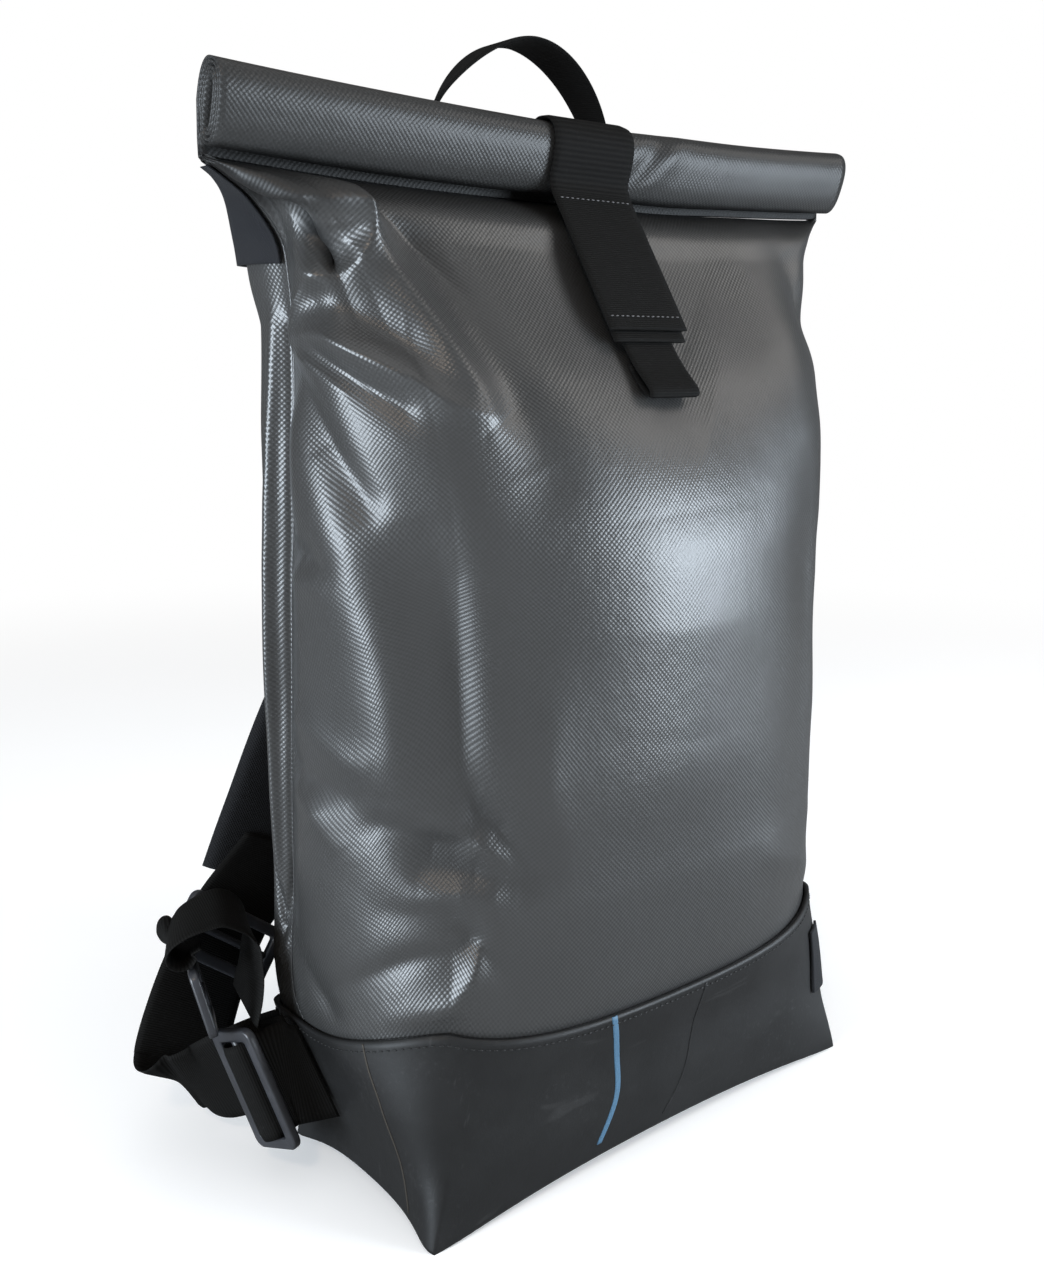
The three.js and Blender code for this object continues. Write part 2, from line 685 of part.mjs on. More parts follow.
// Carry handle: an arch of webbing behind the roll, sewn flat on the yoke at both ends and
// turned a quarter round on the way to its top
function handleGeometry() {
  const [[footY, footZ]] = yokeLine(panelRows - handleRowsDown, panelRows - handleRowsDown);
  const archFoot = neckHeight;
  const seat = clearance + 0.5 * webbingWall + handleLift;
  const stations = [];
  for (let step = 0; step <= handleSteps; step += 1) {
    const angle = Math.PI * step / handleSteps;
    const share = -Math.cos(angle);
    const rise = (1 - Math.min(Math.abs(share), 1) ** handlePower) ** (1 / handlePower);
    const y = footY + seat - handleForward * rise;
    const z = archFoot + (handleTop - 0.5 * webbingWall - archFoot) * rise;
    stations.push({ point: new THREE.Vector3(0.5 * handleSpan * share, y, z), share, rise });
  }
  const [left, right] = [-1, 1].map((share) => ({
    point: new THREE.Vector3(0.5 * handleSpan * share, footY + seat, footZ),
    share,
    rise: 0,
  }));
  const all = [left, ...stations, right];
  all.forEach((station, index) => {
    const before = all[Math.max(index - 1, 0)].point;
    const after = all[Math.min(index + 1, all.length - 1)].point;
    const tangent = after.clone().sub(before).normalize();
    const twist = 0.5 * Math.PI * (1 - station.rise ** (handleTwist - handleTwistLean * station.share));
    const side = new THREE.Vector3(Math.sin(twist), Math.cos(twist), 0);
    side.addScaledVector(tangent, -side.dot(tangent)).normalize();
    station.side = side;
    station.normal = new THREE.Vector3().crossVectors(tangent, side);
    station.width = handleWidth;
    station.wall = webbingWall;
  });
  return sweepGeometry(all, flatOutline);
}

// Where the strap's webbing is sewn to the side of the boot, on the right (side 1) or left (-1)
function anchorPoint(side, along) {
  const outset = bootGap + rubberWall + anchorGap;
  return sectionPoint(placeAtHeight(anchorHeight * bootHeight), side, along, outset);
}

// A stretch of the boot's side as high as the webbing is wide: its middle and the way down it
function bootWall(side, along) {
  const outset = bootGap + rubberWall + anchorGap;
  const [high, centre, low] = [1, 0, -1].map((step) => {
    const height = anchorHeight * bootHeight + 0.5 * step * webbingWidth;
    return sectionPoint(placeAtHeight(height), side, along, outset);
  });
  const chord = high.clone().add(low).multiplyScalar(0.5);
  centre.x = side * Math.max(side * centre.x, side * chord.x);
  return { centre, down: low.sub(high).normalize() };
}

// A direction given by how far it goes inward (towards the middle), rearward and upward
function handDirection(side, { inward, rearward, upward }) {
  return new THREE.Vector3(-side * inward, rearward, upward);
}

// Rows of a free ribbon, given as shares of the webbing's width from the anchor on the boot
function strapRows(side, rows) {
  const anchor = anchorPoint(side, anchorPlace);
  return rows.map((row) => ({
    point: new THREE.Vector3(
      anchor.x + side * row.out * webbingWidth,
      anchor.y + row.back * webbingWidth,
      anchor.z + row.up * webbingWidth,
    ),
    side: handDirection(side, row),
  }));
}

// Lower webbing: from the padded strap down to a bend near the floor and back to the boot
const lowerWebbingRows = [
  { out: -0.41, back: 1.36, up: 1.26, inward: 0.9, rearward: 0, upward: -0.44 },
  { out: -0.09, back: 1.35, up: 0.94, inward: 0.9, rearward: 0, upward: -0.44 },
  { out: 0.24, back: 1.28, up: 0.50, inward: 0.85, rearward: -0.1, upward: -0.52 },
  { out: 0.55, back: 1.11, up: 0.06, inward: 0.77, rearward: -0.22, upward: -0.6 },
  { out: 0.77, back: 0.94, up: -0.30, inward: 0.69, rearward: -0.31, upward: -0.65 },
  { out: 0.85, back: 0.82, up: -0.40, inward: 0.69, rearward: -0.31, upward: -0.65 },
  { out: 0.79, back: 0.70, up: -0.40, inward: 0.69, rearward: -0.31, upward: -0.65 },
  { out: 0.64, back: 0.49, up: -0.36, inward: 0.5, rearward: -0.2, upward: -0.85 },
  { out: 0.44, back: 0.26, up: -0.20, inward: 0.35, rearward: -0.15, upward: -0.92 },
  { out: 0.18, back: 0.08, up: -0.05, inward: 0.28, rearward: -0.05, upward: -0.96 },
  { out: 0, back: 0, up: 0, inward: 0.24, rearward: 0, upward: -0.97 },
];

// Loose end: the webbing's free end, curled over beside the pack
const looseEndRows = [
  { out: 0.40, back: 0.15, up: 0.56, inward: 0.25, rearward: 0.97, upward: 0 },
  { out: 0.33, back: 0.18, up: 0.76, inward: 0.25, rearward: 0.97, upward: 0 },
  { out: 0.27, back: 0.24, up: 0.99, inward: 0.28, rearward: 0.96, upward: 0 },
  { out: 0.24, back: 0.30, up: 1.22, inward: 0.32, rearward: 0.95, upward: 0 },
  { out: 0.30, back: 0.36, up: 1.40, inward: 0.36, rearward: 0.93, upward: 0 },
  { out: 0.46, back: 0.43, up: 1.50, inward: 0.38, rearward: 0.92, upward: -0.02 },
  { out: 0.67, back: 0.49, up: 1.47, inward: 0.40, rearward: 0.91, upward: -0.05 },
  { out: 0.87, back: 0.54, up: 1.38, inward: 0.40, rearward: 0.90, upward: -0.1 },
  { out: 0.97, back: 0.57, up: 1.255, inward: 0.39, rearward: 0.89, upward: -0.2 },
  { out: 0.92, back: 0.57, up: 1.155, inward: 0.38, rearward: 0.88, upward: -0.28 },
  { out: 0.80, back: 0.55, up: 1.115, inward: 0.38, rearward: 0.87, upward: -0.3 },
  { out: 0.67, back: 0.51, up: 1.165, inward: 0.38, rearward: 0.87, upward: -0.3 },
];

// The loop round a slider's middle bar, as shares of the slider's width
const anchorLoop = [
  { across: -0.27, out: -0.36 },
  { across: -0.22, out: -0.09 },
  { across: -0.17, out: 0.10 },
  { across: 0, out: 0.176 },
  { across: 0.17, out: 0.10 },
  { across: 0.22, out: -0.09 },
  { across: 0.27, out: -0.36 },
];

function ribbonGeometry(rows, steps) {
  return sweepGeometry(freeStations(rows, steps, webbingWidth, webbingWall), flatOutline);
}

// Padded shoulder strap, from under the yoke, out behind the back, to the lower webbing
function shoulderStrapGeometry(side) {
  const top = sectionPoint(panelPlace(panelRows - 1 - yokeRows, 0, 1), 0, 1, 0);
  const [end] = strapRows(side, lowerWebbingRows);
  const startX = side * strapSpread;
  const startY = top.y + 0.5 * paddedWall + strapSeat;
  const startZ = top.z - clearance;
  const rows = shoulderStrapRows.map((row) => ({
    point: new THREE.Vector3(
      startX + (end.point.x - startX) * row.out,
      startY + (end.point.y + strapLap - startY) * row.back,
      startZ + (end.point.z + 2 * clearance - startZ) * row.down,
    ),
    side: new THREE.Vector3(1, 0, 0),
  }));
  return sweepGeometry(freeStations(rows, strapSteps, paddedWidth, paddedWall), paddedOutline);
}

// A frame with a middle bar that webbing runs through, lying on three axes
function sliderGeometry(centre, longAxis, shortAxis) {
  const halfLength = 0.5 * sliderLength;
  const halfWidth = 0.5 * sliderWidth;
  const shape = new THREE.Shape();
  const cut = sliderCut * sliderCorner;
  shape.moveTo(-halfLength + sliderCorner, -halfWidth);
  shape.lineTo(halfLength - sliderCorner, -halfWidth);
  shape.lineTo(halfLength - cut, -halfWidth + cut);
  shape.lineTo(halfLength, -halfWidth + sliderCorner);
  shape.lineTo(halfLength, halfWidth - sliderCorner);
  shape.lineTo(halfLength - cut, halfWidth - cut);
  shape.lineTo(halfLength - sliderCorner, halfWidth);
  shape.lineTo(-halfLength + sliderCorner, halfWidth);
  shape.lineTo(-halfLength + cut, halfWidth - cut);
  shape.lineTo(-halfLength, halfWidth - sliderCorner);
  shape.lineTo(-halfLength, -halfWidth + sliderCorner);
  shape.lineTo(-halfLength + cut, -halfWidth + cut);
  for (const side of [-1, 1]) {
    const slot = new THREE.Path();
    const outer = side * (halfWidth - sliderRim);
    const inner = side * 0.5 * sliderBar;
    const end = halfLength - sliderRim;
    slot.moveTo(-end, inner);
    slot.lineTo(end, inner);
    slot.lineTo(end, outer);
    slot.lineTo(-end, outer);
    shape.holes.push(slot);
  }
  const geometry = new THREE.ExtrudeGeometry(shape, { depth: sliderWall, bevelEnabled: false });
  geometry.translate(0, 0, -0.5 * sliderWall);
  const long = longAxis.clone().normalize();
  const short = shortAxis.clone().addScaledVector(long, -shortAxis.dot(long)).normalize();
  const normal = new THREE.Vector3().crossVectors(long, short);
  geometry.applyMatrix4(new THREE.Matrix4().makeBasis(long, short, normal).setPosition(centre));
  return geometry;
}

// Directions along the sliders beside the pack, and the place of the one at the boot
const anchorSliderLong = { inward: 0.22, rearward: -0.33, upward: -0.92 };
const anchorSliderShort = { inward: 0.15, rearward: -0.94, upward: 0.3 };
const anchorSliderSeat = { out: 0.55, back: -0.30, up: -0.08, inward: 0, rearward: 0, upward: 0 };
const looseSliderShort = { inward: 0.12, rearward: -0.378, upward: -0.917 };

// Place and axes of the slider that hangs beside the boot
function anchorSlider(side) {
  const long = handDirection(side, anchorSliderLong).normalize();
  const short = handDirection(side, anchorSliderShort);
  short.addScaledVector(long, -short.dot(long)).normalize();
  const outwards = new THREE.Vector3().crossVectors(long, short).multiplyScalar(-side);
  const [centre] = strapRows(side, [anchorSliderSeat]);
  return { centre: centre.point, long, short, outwards };
}

// Short webbing from the boot round the middle bar of the lower slider, and back
function anchorWebbingGeometry(side) {
  const { centre, long, short, outwards } = anchorSlider(side);
  const wall = bootWall(side, anchorWebbingPlace);
  const rows = anchorLoop.map(({ across, out }) => ({
    point: centre.clone()
      .addScaledVector(short, across * sliderWidth)
      .addScaledVector(outwards, out * sliderWidth),
    side: long.clone(),
  }));
  const tail = (shift) => ({
    point: wall.centre.clone().add(new THREE.Vector3(side * anchorLift, shift * sliderWidth, 0)),
    side: wall.down.clone(),
  });
  return ribbonGeometry([tail(anchorTail), ...rows, tail(-anchorTail)], anchorSteps);
}

// Slider held by the loose end, just under where it turns back
function looseSliderGeometry(side) {
  const rows = strapRows(side, looseEndRows);
  const held = rows[rows.length - 2];
  const long = held.side.clone().normalize();
  const short = handDirection(side, looseSliderShort);
  short.addScaledVector(long, -short.dot(long)).normalize();
  const centre = held.point.clone()
    .addScaledVector(short, 0.5 * (sliderWidth + webbingWall) + sliderGap);
  return sliderGeometry(centre, long, short);
}

// Buckle that lies on the webbing just below the padded strap
function strapBuckleGeometry(side) {
  const [above, upper, lower, beyond] = strapRows(side, lowerWebbingRows);
  const along = beyond.point.clone().add(lower.point).sub(upper.point).sub(above.point).normalize();
  const long = upper.side.clone();
  long.addScaledVector(along, -long.dot(along)).normalize();
  const forwards = new THREE.Vector3().crossVectors(long, along).normalize();
  if (forwards.y > 0) {
    forwards.negate();
  }
  const centre = upper.point.clone().lerp(lower.point, bucklePlace)
    .addScaledVector(forwards, 0.5 * (sliderWall + webbingWall) + buckleGap);
  return sliderGeometry(centre, long, along);
}

// Side tab: a small bare label folded round the front right corner of the boot
const labelDirections = [[0.86, -1], [0.93, -1], [1, -1], [1, -0.93]];

function labelGeometry() {
  const outset = bootGap + rubberWall + labelGap;
  const surface = (distance) => {
    const rows = [];
    for (let row = 0; row <= labelRows; row += 1) {
      const place = placeAtHeight(labelTop * bootHeight - labelHeight * row / labelRows);
      rows.push(labelDirections.map(([across, along]) => sectionPoint(place, across, along, distance)));
    }
    return rows;
  };
  return wallGeometry(surface(outset + labelWall), surface(outset), false, false);
}

const pack = new THREE.Group();

function addPiece(name, geometry, finish) {
  const mesh = new THREE.Mesh(geometry, new THREE.MeshStandardMaterial(finish));
  mesh.name = name;
  pack.add(mesh);
}

addPiece('base_boot', bootGeometry(), rubberFinish);
addPiece('front_panel', tarpGeometry(frontColumns, -1, frontFold), tarpFinish);
addPiece('back_panel', tarpGeometry(backColumns, 1, () => 0), tarpFinish);
addPiece('back_yoke', yokeGeometry(), yokeFinish);
addPiece('top_roll', rollGeometry(), tarpFinish);
addPiece('closure_strap', closureGeometry(), webbingFinish);
addPiece('closure_grip', gripGeometry(), webbingFinish);
addPiece('pull_tab', pullTabGeometry(), webbingFinish);
addPiece('carry_handle', handleGeometry(), webbingFinish);
addPiece('side_tab', labelGeometry(), yokeFinish);

for (const [hand, side] of [['left', -1], ['right', 1]]) {
  addPiece(`shoulder_strap_${hand}`, shoulderStrapGeometry(side), webbingFinish);
  const lowerWebbing = ribbonGeometry(strapRows(side, lowerWebbingRows), webbingSteps);
  addPiece(`lower_webbing_${hand}`, lowerWebbing, webbingFinish);
  const looseEnd = ribbonGeometry(strapRows(side, looseEndRows), webbingSteps);
  addPiece(`loose_end_${hand}`, looseEnd, webbingFinish);
  const { centre, long, short } = anchorSlider(side);
  addPiece(`anchor_slider_${hand}`, sliderGeometry(centre, long, short), plasticFinish);
  addPiece(`loose_slider_${hand}`, looseSliderGeometry(side), plasticFinish);
  addPiece(`strap_buckle_${hand}`, strapBuckleGeometry(side), plasticFinish);
  addPiece(`anchor_webbing_${hand}`, anchorWebbingGeometry(side), webbingFinish);
}

export default pack;
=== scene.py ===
"""Looks of a rolltop backpack: coated tarpaulin over a rubber boot, a rolled mouth and webbing straps.

Sizes are in millimetres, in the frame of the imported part: X to the viewer's right, -Y the front,
+Z up, with the origin under the middle of the boot. MM turns them into Blender's metres.
"""

import logging
import math
from dataclasses import dataclass
from enum import Enum
from typing import Callable, Optional, Sequence

import bmesh
import bpy
import numpy as np
from mathutils import Matrix, Vector


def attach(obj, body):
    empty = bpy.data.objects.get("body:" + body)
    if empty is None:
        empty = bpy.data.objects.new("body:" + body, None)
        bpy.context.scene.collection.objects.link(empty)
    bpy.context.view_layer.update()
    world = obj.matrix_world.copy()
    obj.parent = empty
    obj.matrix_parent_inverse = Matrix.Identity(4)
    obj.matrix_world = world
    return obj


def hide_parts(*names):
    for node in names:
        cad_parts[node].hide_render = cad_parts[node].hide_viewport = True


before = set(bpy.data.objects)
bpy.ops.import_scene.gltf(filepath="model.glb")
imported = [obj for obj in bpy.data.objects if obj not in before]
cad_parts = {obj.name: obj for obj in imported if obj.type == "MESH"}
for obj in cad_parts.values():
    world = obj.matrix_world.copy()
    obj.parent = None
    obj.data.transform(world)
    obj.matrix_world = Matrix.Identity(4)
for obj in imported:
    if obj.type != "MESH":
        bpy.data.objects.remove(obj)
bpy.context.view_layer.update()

MM = 0.001
log = logging.getLogger("rolltop_backpack")

BASE_WIDTH = 284.0
BASE_DEPTH = 122.0
BODY_WIDTH = 312.0
BODY_DEPTH = 136.0
NECK_HEIGHT = 469.5
FLAT_WIDTH = 383.0
NECK_SAG = 5.5
BOOT_HEIGHT = 86.0
BOOT_OVERLAP = 12.0
BOOT_GAP = 1.1
RUBBER_WALL = 2.2
TARP_WALL = 1.6
PANEL_WIDTH = BODY_WIDTH + BODY_DEPTH
CLEARANCE = 0.3
SIDE_SHARE = 6 / 32
PANEL_ROWS = 21
YOKE_OUTSET = 3.2
YOKE_WALL = 1.4
WEBBING_WIDTH = 50.0
WEBBING_WALL = 1.8
SLIDER_WIDTH = 33.0
SLIDER_WALL = 4.5
SMALLEST = 1e-9
SHORTEST = 1e-4


class Half(Enum):
    """A half of the tarpaulin body, as the sign of Y that it faces."""

    FRONT = -1
    BACK = 1


class Hand(Enum):
    """A side of the pack, as the sign of X."""

    LEFT = -1
    RIGHT = 1


def fade(value: np.ndarray, start: float, end: float) -> np.ndarray:
    """A smooth step.

    Args:
        value: where to read it.
        start: where it is still 0.
        end: where it reaches 1.

    Returns:
        Values from 0 to 1.
    """
    t = np.clip((np.asarray(value, float) - start) / (end - start), 0, 1)
    return t * t * (3 - 2 * t)


@dataclass(frozen=True)
class Section:
    """A level section of the body: two half superellipses that meet at the side seams."""

    height: float
    half_width: float
    seam_y: float
    front: float
    back: float
    front_power: float
    back_power: float
    corner_pull: float = 0.0


def body_section(level: float, width: float, seam: float, front: float, back: float,
                 front_power: float, back_power: float) -> Section:
    """A section given as shares of the body's sizes.

    Args:
        level: share of the neck's height.
        width: half width as a share of the body's width.
        seam: the side seam's Y as a share of the body's depth.
        front: depth in front of the seam, as the same share.
        back: depth behind the seam, as the same share.
        front_power: squareness of the front half.
        back_power: squareness of the back half.

    Returns:
        The section in millimetres.
    """
    return Section(level * NECK_HEIGHT, width * BODY_WIDTH, seam * BODY_DEPTH,
                   front * BODY_DEPTH, back * BODY_DEPTH, front_power, back_power)


SECTIONS = (
    Section(0, 0.480 * BASE_WIDTH, 0, 0.459 * BASE_DEPTH, 0.459 * BASE_DEPTH, 16, 16, 0.07),
    Section(0.064 * NECK_HEIGHT, 0.491 * BASE_WIDTH, 0.06 * BODY_DEPTH,
            0.553 * BASE_DEPTH, 0.42 * BASE_DEPTH, 8, 12, 0.02),
    body_section(0.128, 0.470, 0.16, 0.61, 0.31, 5, 12),
    body_section(0.192, 0.492, 0.295, 0.79, 0.182, 3.3, 10),
    body_section(0.32, 0.497, 0.315, 0.84, 0.163, 2.85, 7),
    body_section(0.44, 0.497, 0.30, 0.829, 0.178, 2.6, 7),
    body_section(0.61, 0.496, 0.27, 0.796, 0.208, 2.42, 7),
    body_section(0.68, 0.494, 0.25, 0.757, 0.228, 2.6, 7),
    body_section(0.758, 0.494, 0.235, 0.673, 0.24, 3.0, 7),
    body_section(0.812, 0.492, 0.225, 0.57, 0.25, 3.5, 7),
    body_section(0.864, 0.492, 0.22, 0.434, 0.25, 4.6, 7),
    body_section(0.905, 0.496, 0.22, 0.338, 0.252, 6, 13),
    Section(0.942 * NECK_HEIGHT, 0.411 * FLAT_WIDTH, 0.225 * BODY_DEPTH,
            0.269 * BODY_DEPTH, 0.235 * BODY_DEPTH, 9, 15),
    Section(0.972 * NECK_HEIGHT, 0.434 * FLAT_WIDTH, 0.215 * BODY_DEPTH,
            0.215 * BODY_DEPTH, 0.18 * BODY_DEPTH, 9, 9),
    Section(0.989 * NECK_HEIGHT, 0.468 * FLAT_WIDTH, 0.195 * BODY_DEPTH,
            0.12 * BODY_DEPTH, 0.09 * BODY_DEPTH, 9, 6),
    Section(NECK_HEIGHT, 0.5 * FLAT_WIDTH, 0.175 * BODY_DEPTH, TARP_WALL + 0.3, TARP_WALL + 0.3,
            12, 12),
)


class BodyShape:
    """The body's outside as a smooth loft through the level sections."""

    bottom_lift = 7.0
    groove_depth = 5.0
    groove_width = 9.0
    groove_full = 1.8
    groove_end = (0.93, 0.985)
    lift_end = 0.6
    sag_start = 0.85
    lookup_steps = 6001

    def __init__(self, sections: Sequence[Section] = SECTIONS) -> None:
        """Keeps the sections as a table of numbers, and a list of heights to look places up in."""
        self.table = np.array([[s.height, s.half_width, s.seam_y, s.front, s.back,
                                s.front_power, s.back_power, s.corner_pull] for s in sections])
        self.top = len(sections) - 1
        self.places = np.linspace(0, self.top, self.lookup_steps)
        self.heights = self.read(self.places)[..., 0]

    def read(self, place: np.ndarray) -> np.ndarray:
        """Reads the table between its rows, on smooth curves that never overshoot.

        Args:
            place: row numbers, whole or not.

        Returns:
            An array with the table's columns as its last axis.
        """
        at = np.clip(np.asarray(place, float), 0, self.top)
        index = np.minimum(at.astype(int), self.top - 1)
        t = (at - index)[..., None]
        start, end = self.table[index], self.table[index + 1]
        before = self.table[np.maximum(index - 1, 0)]
        after = self.table[np.minimum(index + 2, self.top)]
        slope = end - start

        def limited(value: np.ndarray) -> np.ndarray:
            """Keeps a slope between flat and three times the straight one."""
            most = 3 * np.abs(slope)
            return np.where(value * slope <= 0, 0, np.clip(value, -most, most))

        first, second = limited(0.5 * (end - before)), limited(0.5 * (after - start))
        t2, t3 = t * t, t ** 3
        return ((2 * t3 - 3 * t2 + 1) * start + (t3 - 2 * t2 + t) * first
                + (3 * t2 - 2 * t3) * end + (t3 - t2) * second)

    def place_at(self, height: np.ndarray) -> np.ndarray:
        """The place in the table where the body reaches a height."""
        return np.interp(height, self.heights, self.places)

    def boot_edge(self, across: np.ndarray, along: np.ndarray) -> np.ndarray:
        """Height of the rubber's edge in a direction round the boot, highest at the front corners."""
        frontness = fade(-np.asarray(along), 0, 1)
        return BOOT_HEIGHT * (0.905 + 0.095 * frontness + 0.13 * frontness * np.abs(across) ** 2)

    def point(self, place: np.ndarray, across: np.ndarray, along: np.ndarray,
              outset: float = 0.0) -> np.ndarray:
        """Points of the body's outside.

        Args:
            place: row numbers in the table of sections.
            across: direction to the right, from -1 to 1, on a square round the section.
            along: direction to the back, from -1 to 1, on the same square.
            outset: how far outside the surface.

        Returns:
            Points in millimetres, with X, Y, Z as the last axis.
        """
        place, across, along = np.broadcast_arrays(place, across, along)
        row = self.read(place)
        height, half_width, seam_y, front, back, front_power, back_power, pull = np.moveaxis(row, -1, 0)
        to_back = along > 0
        power = np.where(to_back, back_power, front_power)
        depth = np.where(to_back, back, front) + outset
        half_width = half_width + outset
        corner = np.abs(across * along)
        total = np.abs(across) ** power + np.abs(along) ** power
        reach = total ** (-1 / power) * (1 + pull * corner ** 4)
        from_seam = depth * along * reach
        grooved = self.groove_depth * fade(height, BOOT_HEIGHT, self.groove_full * BOOT_HEIGHT) \
            * (1 - fade(height, *(share * NECK_HEIGHT for share in self.groove_end)))
        dip = grooved * np.exp(-((from_seam / self.groove_width) ** 2)) * np.abs(across) ** 6
        x = half_width * across * reach - np.sign(across) * dip
        y = seam_y + from_seam
        lift = self.bottom_lift * (1 - corner ** 2) * (1 - fade(height, 0, self.lift_end * BOOT_HEIGHT))
        sag = NECK_SAG * (1 - np.clip((x / half_width) ** 2, 0, 1))
        sag = sag * fade(height, self.sag_start * NECK_HEIGHT, NECK_HEIGHT)
        return np.stack([x, y, height + lift - sag], -1)


BODY = BodyShape()


def back_place(rows_down: np.ndarray) -> np.ndarray:
    """The place in the table of sections some of the CAD's rows below the neck, on the back."""
    low = BODY.place_at(BODY.boot_edge(0, 1) - BOOT_OVERLAP)
    return BODY.top - (BODY.top - low) / PANEL_ROWS * rows_down


def half_directions(across: np.ndarray, half: Half) -> np.ndarray:
    """Directions round one half of the body.

    Args:
        across: share of the way from the left side seam (0) to the right one (1).
        half: which half.

    Returns:
        [across, along] for each share, on a square round the section.
    """
    to_edge = np.minimum(across, 1 - across) / SIDE_SHARE
    face = (2 * across - 1) / (1 - 2 * SIDE_SHARE)
    return np.stack([np.clip(face, -1, 1), half.value * np.clip(to_edge, 0, 1)], -1)


def uneven_shares(parts: Sequence[tuple]) -> np.ndarray:
    """Shares from 0 to 1 with steps of several sizes.

    Args:
        parts: (end, steps) of each stretch, in order.

    Returns:
        All the shares, both ends included.
    """
    shares, start = [0.0], 0.0
    for end, steps in parts:
        shares += np.linspace(start, end, steps + 1)[1:].tolist()
        start = end
    return np.array(shares)


def unit(vectors: np.ndarray) -> np.ndarray:
    """Vectors of length 1 in the same directions."""
    return vectors / np.maximum(np.linalg.norm(vectors, axis=-1, keepdims=True), SMALLEST)


def grid_normals(points: np.ndarray) -> np.ndarray:
    """Unit normals of a grid of points, rows by columns of X, Y, Z."""
    return unit(np.cross(np.gradient(points, axis=1), np.gradient(points, axis=0)))


def length_along(points: np.ndarray, axis: int) -> np.ndarray:
    """Distance travelled along one axis of a grid of points, from its first line."""
    steps = np.linalg.norm(np.diff(points, axis=axis), axis=-1)
    start = np.zeros_like(np.take(steps, [0], axis))
    return np.cumsum(np.concatenate([start, steps], axis), axis)


def mesh_object(name: str, points: np.ndarray, faces: Sequence[Sequence[int]],
                uv: Optional[np.ndarray] = None) -> bpy.types.Object:
    """Makes a smooth-shaded mesh object at the origin.

    Args:
        name: the piece's name.
        points: vertices in millimetres.
        faces: vertex numbers of each face.
        uv: U and V of each vertex in metres, if it has a pattern that follows the surface.

    Returns:
        The new object.
    """
    mesh = bpy.data.meshes.new(name)
    mesh.from_pydata((points * MM).tolist(), [], [list(f) for f in faces])
    if uv is not None:
        layer = mesh.uv_layers.new(name="cloth")
        corners = np.zeros(len(mesh.loops), np.int32)
        mesh.loops.foreach_get("vertex_index", corners)
        layer.data.foreach_set("uv", uv[corners].astype(np.float32).ravel())
    mesh.polygons.foreach_set("use_smooth", np.ones(len(mesh.polygons), bool))
    mesh.validate()
    mesh.update()
    thing = bpy.data.objects.new(name, mesh)
    bpy.context.scene.collection.objects.link(thing)
    return thing


def grid_faces(rows: int, columns: int, ring: bool = False, offset: int = 0,
               flip: bool = False) -> np.ndarray:
    """Four-cornered faces of a grid.

    Args:
        rows: points down the grid.
        columns: points across it.
        ring: whether the last column joins the first.
        offset: number of the grid's first vertex.
        flip: whether the faces point the other way.

    Returns:
        An array of four vertex numbers for each face.
    """
    spans = columns if ring else columns - 1
    row, column = np.meshgrid(np.arange(rows - 1), np.arange(spans), indexing="ij")
    after, below = (column + 1) % columns, row + 1
    quads = np.stack([row * columns + column, row * columns + after,
                      below * columns + after, below * columns + column], -1)
    quads = quads.reshape(-1, 4) + offset
    return quads[:, ::-1] if flip else quads


def sheet_object(name: str, outer: np.ndarray, inner: np.ndarray, uv: np.ndarray,
                 coarse: int = 1) -> bpy.types.Object:
    """A closed sheet between an outer and an inner grid of points.

    Args:
        name: the piece's name.
        outer: rows by columns of points.
        inner: the same for the other face.
        uv: U and V in metres for each point of the grid.
        coarse: the inner face keeps one row and one column in this many.

    Returns:
        The new object.
    """
    rows, columns = outer.shape[:2]
    inner, inner_uv = inner[::coarse, ::coarse], uv[::coarse, ::coarse]
    low_rows, low_columns = inner.shape[:2]
    count = rows * columns
    fine = np.arange(count).reshape(rows, columns)
    rough = count + np.arange(low_rows * low_columns).reshape(low_rows, low_columns)
    faces = grid_faces(rows, columns).tolist()
    faces += grid_faces(low_rows, low_columns, False, count, True).tolist()
    for edge, back, turned in ((fine[0], rough[0], True), (fine[-1], rough[-1], False),
                               (fine[:, 0], rough[:, 0], False), (fine[:, -1], rough[:, -1], True)):
        for k in range(len(back) - 1):
            loop = edge[k * coarse:(k + 1) * coarse + 1].tolist() + [back[k + 1], back[k]]
            faces.append(loop[::-1] if turned else loop)
    points = np.concatenate([outer.reshape(-1, 3), inner.reshape(-1, 3)])
    both = np.concatenate([uv.reshape(-1, 2), inner_uv.reshape(-1, 2)])
    thing = mesh_object(name, points, faces, both)
    outwards(thing)
    return thing


def outwards(thing: bpy.types.Object) -> None:
    """Turns every face of a closed mesh outwards."""
    work = bmesh.new()
    work.from_mesh(thing.data)
    bmesh.ops.recalc_face_normals(work, faces=work.faces)
    work.to_mesh(thing.data)
    work.free()


@dataclass(frozen=True)
class Fold:
    """A line along which the tarpaulin stands out or sinks.

    Places are [across, up]: across from the left seam (0) to the right one (1), and up as a
    share of the neck's height. reach is the width of the profile to the left and to the right
    of the line as it is drawn, and crest its power, 1 for a sharp crease and 2 for a round one.
    """

    line: tuple
    rise: tuple
    reach: tuple
    crest: float = 2.0


